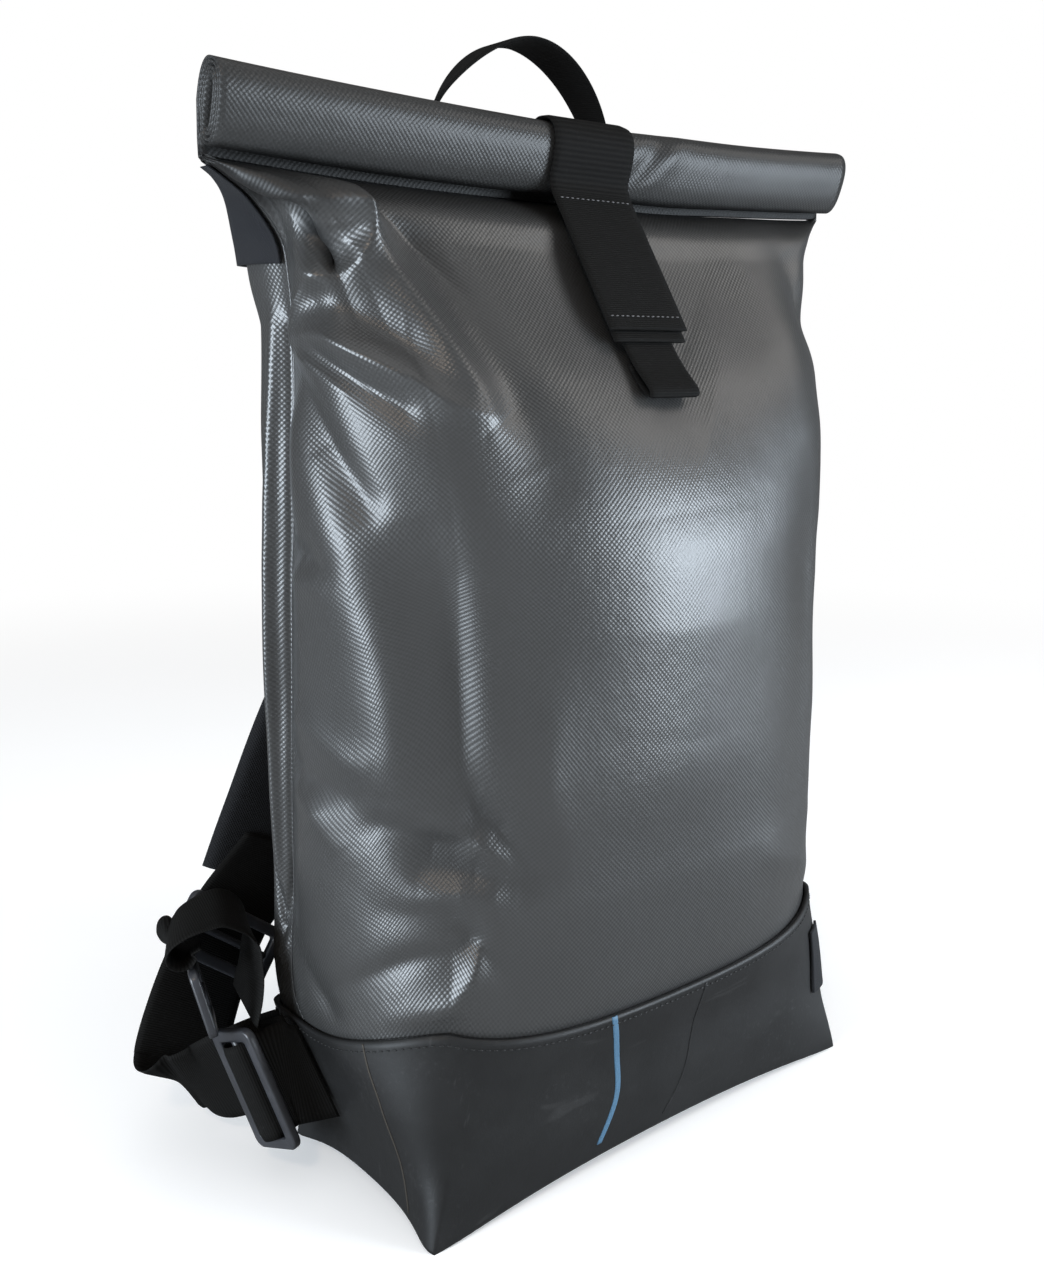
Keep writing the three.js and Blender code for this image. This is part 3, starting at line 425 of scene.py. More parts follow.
FRONT_FOLDS = (
    # The wing under the roll's left end, and the pocket below it
    Fold(((0.040, 0.975), (0.130, 0.972), (0.232, 0.960)), (3.5, 6.5, 6.0), (9, 9), 1.5),
    Fold(((0.000, 0.972), (0.060, 0.966), (0.116, 0.955), (0.160, 0.940)),
         (-2, -7, -15, -9), (7, 13), 1.8),
    Fold(((0.150, 0.934), (0.195, 0.945)), (-9, -5), (15, 15), 2.0),
    Fold(((0.167, 0.965), (0.180, 0.950), (0.212, 0.948)), (1.5, 2.5, 1.0), (4, 4), 1.3),
    Fold(((0.232, 0.957), (0.222, 0.934), (0.183, 0.915), (0.130, 0.905), (0.070, 0.912)),
         (5.5, 5.0, 5.0, 4.5, 1.5), (7, 9), 1.4),
    # The long slanting ridge and the hollow at its right
    Fold(((0.230, 0.955), (0.236, 0.898), (0.253, 0.851), (0.270, 0.810), (0.284, 0.780)),
         (3.2, 4.8, 4.8, 4.0, 1.6), (17, 14), 1.7),
    Fold(((0.268, 0.955), (0.290, 0.880), (0.312, 0.800), (0.330, 0.740)),
         (-2.5, -3.0, -3.5, -2.0), (16, 26), 2.0),
    Fold(((0.259, 0.975), (0.285, 0.937), (0.310, 0.895)), (-1.2, -1.8, -0.6), (5, 9), 1.4),
    # The star at the left seam and its rays
    Fold(((0.000, 0.846), (0.045, 0.885), (0.110, 0.906)), (1.0, 3.0, 1.0), (7, 5), 1.4),
    Fold(((0.010, 0.850), (0.080, 0.878), (0.150, 0.876), (0.205, 0.850)),
         (-0.5, -4.5, -5.5, -3.5), (13, 13), 2.0),
    Fold(((0.000, 0.846), (0.060, 0.856), (0.104, 0.852), (0.170, 0.821), (0.221, 0.795), (0.265, 0.785)),
         (2.0, 5.0, 5.5, 5.0, 4.0, 2.0), (11, 8), 1.3),
    Fold(((0.000, 0.845), (0.055, 0.842), (0.110, 0.820), (0.160, 0.795)),
         (-1.0, -2.5, -3.0, -2.0), (6, 8), 1.6),
    Fold(((0.000, 0.844), (0.050, 0.832), (0.100, 0.806)), (1.0, 2.6, 0.6), (4.5, 5), 1.2),
    Fold(((0.000, 0.843), (0.035, 0.808), (0.068, 0.762), (0.098, 0.712)),
         (-0.5, -3.5, -4.5, -3.0), (8, 13), 1.8),
    Fold(((0.000, 0.840), (0.018, 0.790), (0.046, 0.745), (0.066, 0.693), (0.081, 0.645), (0.104, 0.585),
          (0.115, 0.530), (0.120, 0.473), (0.123, 0.435)),
         (1.0, 3.0, 4.5, 5.0, 5.5, 6.0, 6.0, 5.5, 3.0), (18, 20), 1.9),
    # Small creases beside the seam, lower down
    Fold(((0.006, 0.656), (0.032, 0.657), (0.056, 0.650)), (-1.5, -3.2, -1.0), (7, 6), 1.5),
    Fold(((0.006, 0.632), (0.038, 0.632), (0.064, 0.622)), (0.8, 1.6, 0.5), (6, 7), 1.5),
    Fold(((0.010, 0.500), (0.038, 0.487), (0.080, 0.466), (0.105, 0.458)),
         (1.0, 2.2, 2.0, 0.5), (8, 6), 1.5),
    Fold(((0.010, 0.448), (0.035, 0.436), (0.078, 0.430)), (-1.5, -3.0, -1.5), (8, 8), 1.7),
    Fold(((0.020, 0.425), (0.045, 0.402), (0.075, 0.372)), (0.8, 2.4, 0.6), (8, 7), 1.5),
    # The upright valley and the broad bulge at its right
    Fold(((0.150, 0.700), (0.166, 0.640), (0.182, 0.560), (0.194, 0.485), (0.214, 0.430)),
         (-1.2, -3.6, -4.8, -5.0, -3.0), (18, 44), 1.9),
    Fold(((0.470, 0.690), (0.475, 0.580), (0.465, 0.470)), (2.0, 4.0, 2.5), (58, 52), 2.0),
    Fold(((0.330, 0.500), (0.322, 0.440), (0.345, 0.380)), (1.0, 1.8, 0.5), (14, 18), 1.6),
    # Low dimples
    Fold(((0.112, 0.408), (0.162, 0.392), (0.215, 0.395)), (-3.0, -4.0, -2.0), (9, 12), 1.6),
    Fold(((0.225, 0.425), (0.262, 0.402), (0.305, 0.362)), (-2.5, -4.2, -2.0), (11, 10), 1.5),
    Fold(((0.165, 0.412), (0.229, 0.390), (0.262, 0.377)), (0.6, 2.2, 0.8), (6, 6), 1.5),
    Fold(((0.155, 0.368), (0.225, 0.362), (0.288, 0.350)), (-1.8, -3.2, -1.5), (8, 8), 1.6),
    Fold(((0.150, 0.338), (0.200, 0.343), (0.252, 0.340)), (0.8, 2.2, 1.2), (7, 6), 1.5),
    Fold(((0.120, 0.322), (0.185, 0.318), (0.236, 0.294), (0.262, 0.270)),
         (-1.0, -2.6, -3.0, -1.0), (8, 9), 1.6),
    # The bright facet over the boot
    Fold(((0.060, 0.222), (0.130, 0.271), (0.185, 0.287), (0.228, 0.298)),
         (-1.0, -2.2, -2.4, -1.6), (5, 9), 1.4),
    Fold(((0.236, 0.292), (0.222, 0.262), (0.185, 0.232), (0.140, 0.208)),
         (2.6, 3.5, 3.2, 1.6), (16, 8), 1.4),
    Fold(((0.024, 0.235), (0.044, 0.208), (0.064, 0.190)), (-1.0, -2.4, -1.5), (6, 6), 1.4),
    # Slack under the strap and at the right
    Fold(((0.480, 0.880), (0.520, 0.820), (0.560, 0.790)), (-2.5, -4.0, -2.0), (34, 34), 2.0),
    Fold(((0.690, 0.930), (0.730, 0.860), (0.745, 0.780)), (1.5, 2.5, 1.0), (26, 22), 1.9),
    Fold(((0.760, 0.950), (0.800, 0.900), (0.850, 0.872), (0.960, 0.862)),
         (-1.0, -3.0, -3.0, -1.0), (14, 14), 1.8),
    Fold(((0.775, 0.720), (0.800, 0.600), (0.795, 0.450), (0.770, 0.340)),
         (1.0, 2.5, 2.5, 1.0), (26, 22), 2.0),
    Fold(((0.985, 0.820), (0.930, 0.790), (0.870, 0.740)), (1.5, 3.0, 1.0), (14, 11), 1.6),
    Fold(((0.990, 0.560), (0.940, 0.540), (0.895, 0.500)), (-1.0, -2.6, -1.0), (12, 12), 1.7),
    Fold(((0.640, 0.300), (0.730, 0.268), (0.820, 0.240)), (1.0, 2.0, 1.0), (13, 11), 1.7),
)

BACK_FOLDS = (
    Fold(((0.060, 0.860), (0.075, 0.700), (0.080, 0.500), (0.075, 0.320)),
         (1.5, 3.0, 3.2, 1.5), (9, 9), 1.9),
    Fold(((0.015, 0.860), (0.012, 0.600), (0.014, 0.300)), (-1.5, -2.0, -1.5), (5, 5), 1.6),
    Fold(((0.010, 0.330), (0.045, 0.268), (0.110, 0.330)), (-1.0, -3.4, -1.0), (6, 6), 1.3),
    Fold(((0.010, 0.245), (0.060, 0.232), (0.120, 0.222)), (1.0, 2.2, 0.8), (6, 6), 1.4),
    Fold(((0.940, 0.860), (0.925, 0.700), (0.920, 0.500), (0.925, 0.320)),
         (1.5, 3.0, 3.2, 1.5), (9, 9), 1.9),
    Fold(((0.985, 0.860), (0.988, 0.600), (0.986, 0.300)), (-1.5, -2.0, -1.5), (5, 5), 1.6),
    Fold(((0.990, 0.330), (0.955, 0.275), (0.890, 0.320)), (-1.0, -3.0, -1.0), (6, 6), 1.3),
    Fold(((0.300, 0.620), (0.420, 0.560), (0.560, 0.540), (0.700, 0.580)),
         (0.8, 1.6, 1.6, 0.8), (26, 22), 2.0),
    Fold(((0.250, 0.330), (0.400, 0.280), (0.600, 0.290)), (-0.6, -1.6, -0.8), (20, 18), 1.8),
)


@dataclass
class Relief:
    """Adds up the folds of one half of the body."""

    half: Half
    folds: Sequence[Fold]
    samples: int = 9
    edge_room: float = 14.0
    seam_room: float = 7.0
    neck_room: float = 0.984
    ripple: float = 0.45
    gain: float = 1.3
    reach_kept: float = 2.6

    def depth(self, across: np.ndarray, height: np.ndarray) -> np.ndarray:
        """How far the cloth stands out.

        Args:
            across: from the left seam (0) to the right one (1).
            height: height over the floor, in millimetres.

        Returns:
            Millimetres, negative where it sinks.
        """
        x = across * PANEL_WIDTH
        total = self.slack(x, height)
        for fold in self.folds:
            self.one(fold, x, height, total)
        total = total * self.gain
        way = half_directions(across, self.half)
        from_boot = height - BODY.boot_edge(way[..., 0], way[..., 1])
        from_seam = np.minimum(x, PANEL_WIDTH - x)
        total = total * fade(from_boot, 1, self.edge_room)
        total = total * (1 - fade(height, self.neck_room * NECK_HEIGHT, NECK_HEIGHT))
        return total * fade(from_seam, 0, self.seam_room)

    def slack(self, x: np.ndarray, z: np.ndarray) -> np.ndarray:
        """Slow, slight waves all over the cloth."""
        first = np.sin(x / 31 + 1.3 * np.sin(z / 47 + 0.7)) * np.sin(z / 39 + 1.1 * np.sin(x / 53))
        second = np.sin(x / 17 + z / 23 + 2.1 * np.sin(x / 61)) * np.cos(z / 19 - x / 41)
        return self.ripple * (first + 0.5 * second)

    def one(self, fold: Fold, x: np.ndarray, z: np.ndarray, total: np.ndarray) -> None:
        """Adds one fold's share of the relief at points of the flattened panel to total."""
        line = np.array(fold.line, float) * [PANEL_WIDTH, NECK_HEIGHT]
        knots = np.arange(len(line))
        share = np.linspace(0, len(line) - 1, self.samples * (len(line) - 1) + 1)
        path = np.stack([smooth_read(share, knots, line[:, axis]) for axis in (0, 1)], -1)
        height = np.interp(share, knots, np.array(fold.rise, float))
        room = self.reach_kept ** (2 / fold.crest) * max(fold.reach)
        near = (x > path[:, 0].min() - room) & (x < path[:, 0].max() + room) \
            & (z > path[:, 1].min() - room) & (z < path[:, 1].max() + room)
        px, pz = x[near], z[near]
        best, result = np.full(px.shape, 1e9), np.zeros_like(px)
        for start, end, low, high in zip(path[:-1], path[1:], height[:-1], height[1:]):
            step = end - start
            t = np.clip(((px - start[0]) * step[0] + (pz - start[1]) * step[1]) / (step @ step), 0, 1)
            dx, dz = px - start[0] - t * step[0], pz - start[1] - t * step[1]
            distance = np.hypot(dx, dz)
            lean = (step[0] * dz - step[1] * dx) / (np.linalg.norm(step) * np.maximum(distance, 1e-6))
            side = fold.reach[1] + (fold.reach[0] - fold.reach[1]) * fade(lean, -1, 1)
            value = (low + (high - low) * t) * np.exp(-((distance / side) ** fold.crest))
            closer = distance < best
            best = np.where(closer, distance, best)
            result = np.where(closer, value, result)
        total[near] += result


def smooth_read(at: np.ndarray, knots: np.ndarray, values: np.ndarray) -> np.ndarray:
    """Reads values on a smooth curve through evenly spaced knots."""
    last = len(knots) - 1
    index = np.clip(at.astype(int), 0, last - 1)
    t = at - index
    before, after = values[np.maximum(index - 1, 0)], values[np.minimum(index + 2, last)]
    start, end = values[index], values[index + 1]
    first, second = 0.5 * (end - before), 0.5 * (after - start)
    return ((2 * t ** 3 - 3 * t ** 2 + 1) * start + (t ** 3 - 2 * t ** 2 + t) * first
            + (3 * t ** 2 - 2 * t ** 3) * end + (t ** 3 - t ** 2) * second)


@dataclass
class NodeBench:
    """Short ways to add and join the nodes of one tree."""

    tree: bpy.types.NodeTree

    def add(self, kind: str, inputs: Optional[dict] = None, **settings: object) -> bpy.types.Node:
        """Adds a node.

        Args:
            kind: the node's type name.
            inputs: a value or an output socket for some of its inputs, by name or number.
            settings: properties of the node.

        Returns:
            The node.
        """
        node = self.tree.nodes.new(kind)
        for key, value in settings.items():
            setattr(node, key, value)
        for key, value in (inputs or {}).items():
            self.feed(node.inputs[key], value)
        return node

    def feed(self, socket: bpy.types.NodeSocket, value: object) -> None:
        """Joins an output socket to an input, or sets the input's value."""
        if isinstance(value, bpy.types.NodeSocket):
            self.tree.links.new(value, socket)
        else:
            socket.default_value = value

    def math(self, operation: str, first: object, second: object = 0.0,
             clamp: bool = False) -> bpy.types.NodeSocket:
        """A Math node's output."""
        inputs = {0: first, 1: second}
        return self.add("ShaderNodeMath", inputs, operation=operation, use_clamp=clamp).outputs[0]

    def blend(self, factor: object, first: object, second: object) -> bpy.types.NodeSocket:
        """A colour Mix node's output."""
        inputs = {0: factor, 6: first, 7: second}
        return self.add("ShaderNodeMix", inputs, data_type="RGBA").outputs[2]

    def span(self, value: object, low: float, high: float) -> bpy.types.NodeSocket:
        """A smooth step from 0 to 1 between two values."""
        inputs = {0: value, 1: low, 2: high}
        return self.add("ShaderNodeMapRange", inputs, interpolation_type="SMOOTHSTEP").outputs[0]

    def noise(self, where: object, scale: float, detail: float = 4.0,
              roughness: float = 0.55) -> bpy.types.NodeSocket:
        """A Noise texture's value."""
        inputs = {"Vector": where, "Scale": scale, "Detail": detail, "Roughness": roughness}
        return self.add("ShaderNodeTexNoise", inputs).outputs[0]

    def bump(self, height: object, distance: float, strength: float = 1.0,
             normal: Optional[bpy.types.NodeSocket] = None) -> bpy.types.NodeSocket:
        """A Bump node's normal, on top of another normal if one is given."""
        inputs = {"Height": height, "Distance": distance, "Strength": strength}
        if normal:
            inputs["Normal"] = normal
        return self.add("ShaderNodeBump", inputs).outputs[0]

    def group(self, tree: bpy.types.NodeTree, where: object, **values: float) -> object:
        """The outputs of a shader node group, with values for some of its inputs."""
        return self.add("ShaderNodeGroup", {"Vector": where, **values}, node_tree=tree).outputs


def shader_group(name: str, inputs: dict, outputs: Sequence[str],
                 build: Callable[[NodeBench, dict], dict]) -> bpy.types.NodeTree:
    """Makes a shader node group once. Its first input, Vector, is the place.

    Args:
        name: the group's name.
        inputs: name and default of each further input, all plain numbers.
        outputs: name of each output, all plain numbers.
        build: adds the nodes. It gets the bench and the input sockets, and gives the outputs.

    Returns:
        The group.
    """
    if name in bpy.data.node_groups:
        return bpy.data.node_groups[name]
    tree = bpy.data.node_groups.new(name, "ShaderNodeTree")
    tree.interface.new_socket("Vector", in_out="INPUT", socket_type="NodeSocketVector")
    for label, default in inputs.items():
        socket = tree.interface.new_socket(label, in_out="INPUT", socket_type="NodeSocketFloat")
        socket.default_value = default
    for label in outputs:
        tree.interface.new_socket(label, in_out="OUTPUT", socket_type="NodeSocketFloat")
    bench = NodeBench(tree)
    entry, leave = bench.add("NodeGroupInput"), bench.add("NodeGroupOutput")
    made = build(bench, {s.name: s for s in entry.outputs if s.name})
    for label, value in made.items():
        tree.links.new(value, leave.inputs[label])
    return tree


def woven_emboss() -> bpy.types.NodeTree:
    """Group: the raised threads of a plain weave under a coating."""
    def build(bench: NodeBench, given: dict) -> dict:
        """Two crossing waves, one over the other in turn."""
        parts = bench.add("ShaderNodeSeparateXYZ", {0: given["Vector"]}).outputs
        rate = bench.math("DIVIDE", 2 * math.pi, given["Pitch"])
        drift = bench.noise(given["Vector"], 60.0, 2.0)
        shift = bench.math("MULTIPLY", drift, given["Waviness"])
        across, along = (bench.math("SINE", bench.math("ADD", bench.math("MULTIPLY", part, rate), shift))
                         for part in (parts[0], parts[1]))
        bumps = bench.math("MULTIPLY", across, along)
        return {"Height": bench.math("ADD", bench.math("MULTIPLY", bumps, 0.5), 0.5)}
    return shader_group("woven_emboss", {"Pitch": 0.002, "Waviness": 0.5}, ["Height"], build)


def dust_and_marks() -> bpy.types.NodeTree:
    """Group: thin dust, smudges and fine scratches."""
    def build(bench: NodeBench, given: dict) -> dict:
        """Smudges from two noises, and scratches from a stretched one."""
        wide = bench.span(bench.noise(given["Vector"], 14.0, 5.0), 0.45, 0.75)
        fine = bench.span(bench.noise(given["Vector"], 420.0, 3.0), 0.55, 0.8)
        dust = bench.math("MULTIPLY", bench.math("MULTIPLY", wide, fine), given["Dust"], True)
        turned = bench.add("ShaderNodeMapping", {"Vector": given["Vector"], "Rotation": (0.4, 0.9, 0.5),
                                                 "Scale": (18.0, 900.0, 60.0)})
        thin = bench.span(bench.noise(turned.outputs[0], 1.0, 2.0), 0.66, 0.74)
        marks = bench.math("MULTIPLY", thin, given["Marks"], True)
        return {"Dust": dust, "Marks": marks, "Smudge": wide}
    return shader_group("dust_and_marks", {"Dust": 0.3, "Marks": 0.3}, ["Dust", "Marks", "Smudge"], build)


def ribbed_webbing() -> bpy.types.NodeTree:
    """Group: the cross ribs and fine threads of woven webbing, V running along it."""
    def build(bench: NodeBench, given: dict) -> dict:
        """Ribs across the webbing with short threads on them."""
        parts = bench.add("ShaderNodeSeparateXYZ", {0: given["Vector"]}).outputs
        drift = bench.math("MULTIPLY", bench.noise(given["Vector"], 90.0, 2.0), 1.2)
        rate = bench.math("DIVIDE", 2 * math.pi, given["Pitch"])
        fine = bench.math("MULTIPLY", rate, 1.9)
        ribs, threads = (bench.math("SINE", bench.math("ADD", bench.math("MULTIPLY", part, pace), drift))
                         for part, pace in ((parts[1], rate), (parts[0], fine)))
        both = bench.math("ADD", bench.math("MULTIPLY", ribs, 0.36), bench.math("MULTIPLY", threads, 0.14))
        return {"Height": bench.math("ADD", both, 0.5)}
    return shader_group("ribbed_webbing", {"Pitch": 0.0016}, ["Height"], build)


@dataclass(frozen=True)
class Finish:
    """What every finish has: a name, the record's slot and the shader's own constants."""

    name: str
    slot: str
    colour: tuple
    roughness: float
    specular: float = 0.5
    sheen: float = 0.0

    def material(self) -> bpy.types.Material:
        """The finish as a material, made the first time it is asked for."""
        if self.name in bpy.data.materials:
            return bpy.data.materials[self.name]
        made = bpy.data.materials.new(self.name)
        made.use_nodes = True
        made.diffuse_color = self.shades(1)
        bench = NodeBench(made.node_tree)
        shader = made.node_tree.nodes["Principled BSDF"]
        shader.inputs["Base Color"].default_value = self.shades(1)
        shader.inputs["Roughness"].default_value = self.roughness
        shader.inputs["Specular IOR Level"].default_value = self.specular
        shader.inputs["Sheen Weight"].default_value = self.sheen
        shader.inputs["Sheen Roughness"].default_value = 0.4
        self.detail(bench, bench.add("ShaderNodeTexCoord").outputs, shader.inputs)
        return made

    def detail(self, bench: NodeBench, place: object, shader: object) -> None:
        """Adds what this finish has beyond its constants; each kind of finish has its own.

        Args:
            bench: the material's nodes.
            place: the outputs of its coordinates node.
            shader: the inputs of its shader.
        """
        raise NotImplementedError

    def shades(self, share: float) -> tuple:
        """The finish's colour times a share, with full alpha."""
        return tuple(share * c for c in self.colour) + (1.0,)


@dataclass(frozen=True)
class TarpFinish(Finish):
    """Coated tarpaulin: semi-gloss, with the weave showing through."""

    pitch: float = 0.0024
    emboss: float = 0.00011
    clouds: tuple = (0.8, 0.98)
    weave: float = 0.6
    weave_shade: float = 1.6
    dust: float = 0.03
    smudge: float = 0.03
    # Painted shade: the colour's share and the added roughness where the mesh marks shade.
    painted_shade_share: float = 0.22
    painted_shade_roughness: float = 0.22

    def detail(self, bench: NodeBench, place: object, shader: object) -> None:
        """Adds the weave, slow cloudiness, dust, smudges, and painted shade: darker colour and duller gloss
        where the mesh marks sunken folds and the neck under the roll.
        """
        weave = bench.group(woven_emboss(), place["UV"], Pitch=self.pitch)["Height"]
        marks = bench.group(dust_and_marks(), place["Object"], Dust=self.dust)
        cloud = bench.span(bench.noise(place["Object"], 9.0), 0.35, 0.7)
        base = bench.blend(cloud, *(self.shades(share) for share in self.clouds))
        woven = bench.math("MULTIPLY", weave, self.weave)
        lined = bench.blend(woven, base, self.shades(self.weave_shade))
        dusty = bench.blend(marks["Dust"], lined, (0.25, 0.25, 0.25, 1))
        # Painted shade, read from a vertex attribute: darkens the colour and dulls the gloss in sunken
        # folds and under the roll.
        hollow = bench.add("ShaderNodeAttribute", attribute_name="hollow").outputs["Fac"]
        bench.feed(shader["Base Color"], bench.blend(hollow, dusty, self.shades(self.painted_shade_share)))
        smudged = bench.math("MULTIPLY", marks["Smudge"], self.smudge)
        rough = bench.math("ADD", self.roughness - self.smudge, smudged)
        dulled = bench.math("MULTIPLY", hollow, self.painted_shade_roughness)
        bench.feed(shader["Roughness"], bench.math("ADD", rough, dulled, True))
        slow = bench.bump(bench.noise(place["Object"], 55.0, 3.0), 0.0011, 0.35)
        bench.feed(shader["Normal"], bench.bump(weave, self.emboss, 1.0, slow))


@dataclass(frozen=True)
class RubberFinish(Finish):
    """Tyre-tube rubber: satin, scratched and a little dusty."""

    dust: float = 0.3
    marks: float = 0.5
    patchiness: float = 0.12

    def detail(self, bench: NodeBench, place: object, shader: object) -> None:
        """Adds cloudiness, dust, scratches and the rubber's skin."""
        marks = bench.group(dust_and_marks(), place["Object"], Dust=self.dust, Marks=self.marks)
        cloud = bench.span(bench.noise(place["Object"], 11.0, 6.0, 0.65), 0.3, 0.75)
        base = bench.blend(cloud, self.shades(0.8), self.shades(1.3))
        dusty = bench.blend(marks["Dust"], base, (0.08, 0.08, 0.083, 1))
        scratches = bench.math("MULTIPLY", marks["Marks"], 0.3)
        bench.feed(shader["Base Color"], bench.blend(scratches, dusty, (0.06, 0.06, 0.06, 1)))
        dulled = bench.math("MULTIPLY", cloud, self.patchiness)
        bench.feed(shader["Roughness"], bench.math("ADD", self.roughness - 0.05, dulled))
        slow = bench.bump(bench.noise(place["Object"], 30.0), 0.0012, 0.3)
        skin = bench.noise(place["Object"], 900.0, 3.0)
        bench.feed(shader["Normal"], bench.bump(skin, 0.00008, 0.6, slow))


@dataclass(frozen=True)
class WebbingFinish(Finish):
    """Black woven webbing with cross ribs."""

    pitch: float = 0.0011
    emboss: float = 0.00018
    dust: float = 0.1

    def detail(self, bench: NodeBench, place: object, shader: object) -> None:
        """Adds ribs, thread-to-thread colour and a little lint."""
        ribs = bench.group(ribbed_webbing(), place["UV"], Pitch=self.pitch)["Height"]
        dust = bench.group(dust_and_marks(), place["Object"], Dust=self.dust)["Dust"]
        base = bench.blend(ribs, self.shades(0.55), self.shades(1.7))
        bench.feed(shader["Base Color"], bench.blend(dust, base, (0.1, 0.1, 0.1, 1)))
        bench.feed(shader["Normal"], bench.bump(ribs, self.emboss, 0.9))


@dataclass(frozen=True)
class ClothFinish(Finish):
    """Matt black woven cloth."""

    pitch: float = 0.0009
    emboss: float = 0.00012

    def detail(self, bench: NodeBench, place: object, shader: object) -> None:
        """Adds a fine weave and slow creasing."""
        weave = bench.group(woven_emboss(), place["UV"], Pitch=self.pitch)["Height"]
        bench.feed(shader["Base Color"], bench.blend(weave, self.shades(0.7), self.shades(1.5)))
        slow = bench.bump(bench.noise(place["Object"], 45.0, 3.0), 0.0015, 0.4)
        bench.feed(shader["Normal"], bench.bump(weave, self.emboss, 1.0, slow))


@dataclass(frozen=True)
class MouldedFinish(Finish):
    """Satin moulded plastic with a fine grain."""

    rubbed: float = 0.1

    def detail(self, bench: NodeBench, place: object, shader: object) -> None:
        """Adds the mould's grain and rubbed patches."""
        rub = bench.span(bench.noise(place["Object"], 60.0, 3.0), 0.4, 0.7)
        bench.feed(shader["Base Color"], bench.blend(rub, self.shades(0.85), self.shades(1.25)))
        shinier = bench.math("MULTIPLY", rub, -self.rubbed)
        bench.feed(shader["Roughness"], bench.math("ADD", self.roughness, shinier))
        bench.feed(shader["Normal"], bench.bump(bench.noise(place["Object"], 1800.0, 2.0), 0.00005, 0.5))


@dataclass(frozen=True)
class ThreadFinish(Finish):
    """Sewing thread, and thin lines on the rubber."""

    def detail(self, bench: NodeBench, place: object, shader: object) -> None:
        """Adds small changes of colour."""
        twist = bench.noise(place["Object"], 1500.0, 1.0)
        bench.feed(shader["Base Color"], bench.blend(twist, self.shades(0.7), self.shades(1.3)))


TARP = TarpFinish("coated_tarpaulin", "tarpaulin", (0.030, 0.030, 0.0297), 0.35, 0.55)
ROLLED_TARP = TarpFinish("rolled_tarpaulin", "tarpaulin", (0.026, 0.026, 0.0257), 0.36, 0.20)
RUBBER = RubberFinish("tube_rubber", "boot_rubber", (0.0110, 0.0110, 0.0111), 0.5, 0.28)
WEBBING = WebbingFinish("ribbed_webbing", "webbing", (0.0045, 0.0043, 0.0040), 0.78, 0.10)
YOKE_CLOTH = ClothFinish("plain_black_cloth", "yoke_cloth", (0.008, 0.0085, 0.0105), 0.8, 0.25, 0.04)
PADDING = ClothFinish("padded_black_cloth", "padding", (0.006, 0.0062, 0.007), 0.85, 0.2, 0.05,
                      pitch=0.0016, emboss=0.0003)
PLASTIC = MouldedFinish("moulded_plastic", "slider_plastic", (0.026, 0.027, 0.031), 0.40, 0.5)
DARK_THREAD = ThreadFinish("dark_thread", "webbing", (0.006, 0.006, 0.006), 0.6)
LIGHT_THREAD = ThreadFinish("light_thread", "webbing", (0.09, 0.088, 0.09), 0.6)
MOULD_LINE = ThreadFinish("rubber_mould_line", "boot_rubber", (0.034, 0.029, 0.023), 0.55, 0.3)
BLUE_LINE = ThreadFinish("rubber_blue_line", "boot_rubber", (0.055, 0.13, 0.21), 0.55, 0.4)


def shade(thing: bpy.types.Object, hollow: np.ndarray) -> None:
    """Writes how much painted shade each vertex gets, from 0 to 1; vertices left over get 0."""
    values = np.zeros(len(thing.data.vertices), np.float32)
    values[:hollow.size] = hollow.ravel()
    thing.data.attributes.new("hollow", "FLOAT", "POINT").data.foreach_set("value", values)


def dress(thing: bpy.types.Object, finish: Finish, *nodes: str) -> bpy.types.Object:
    """Gives a piece its finish, and lets it ride in place of CAD nodes.

    Args:
        thing: the piece.
        finish: its finish.
        nodes: the CAD nodes that it stands for.

    Returns:
        The same piece.
    """
    thing.data.materials.clear()
    thing.data.materials.append(finish.material())
    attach(thing, "root")
    if nodes:
        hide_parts(*nodes)
    log.info("%s: %d faces", thing.name, len(thing.data.polygons))
    return thing


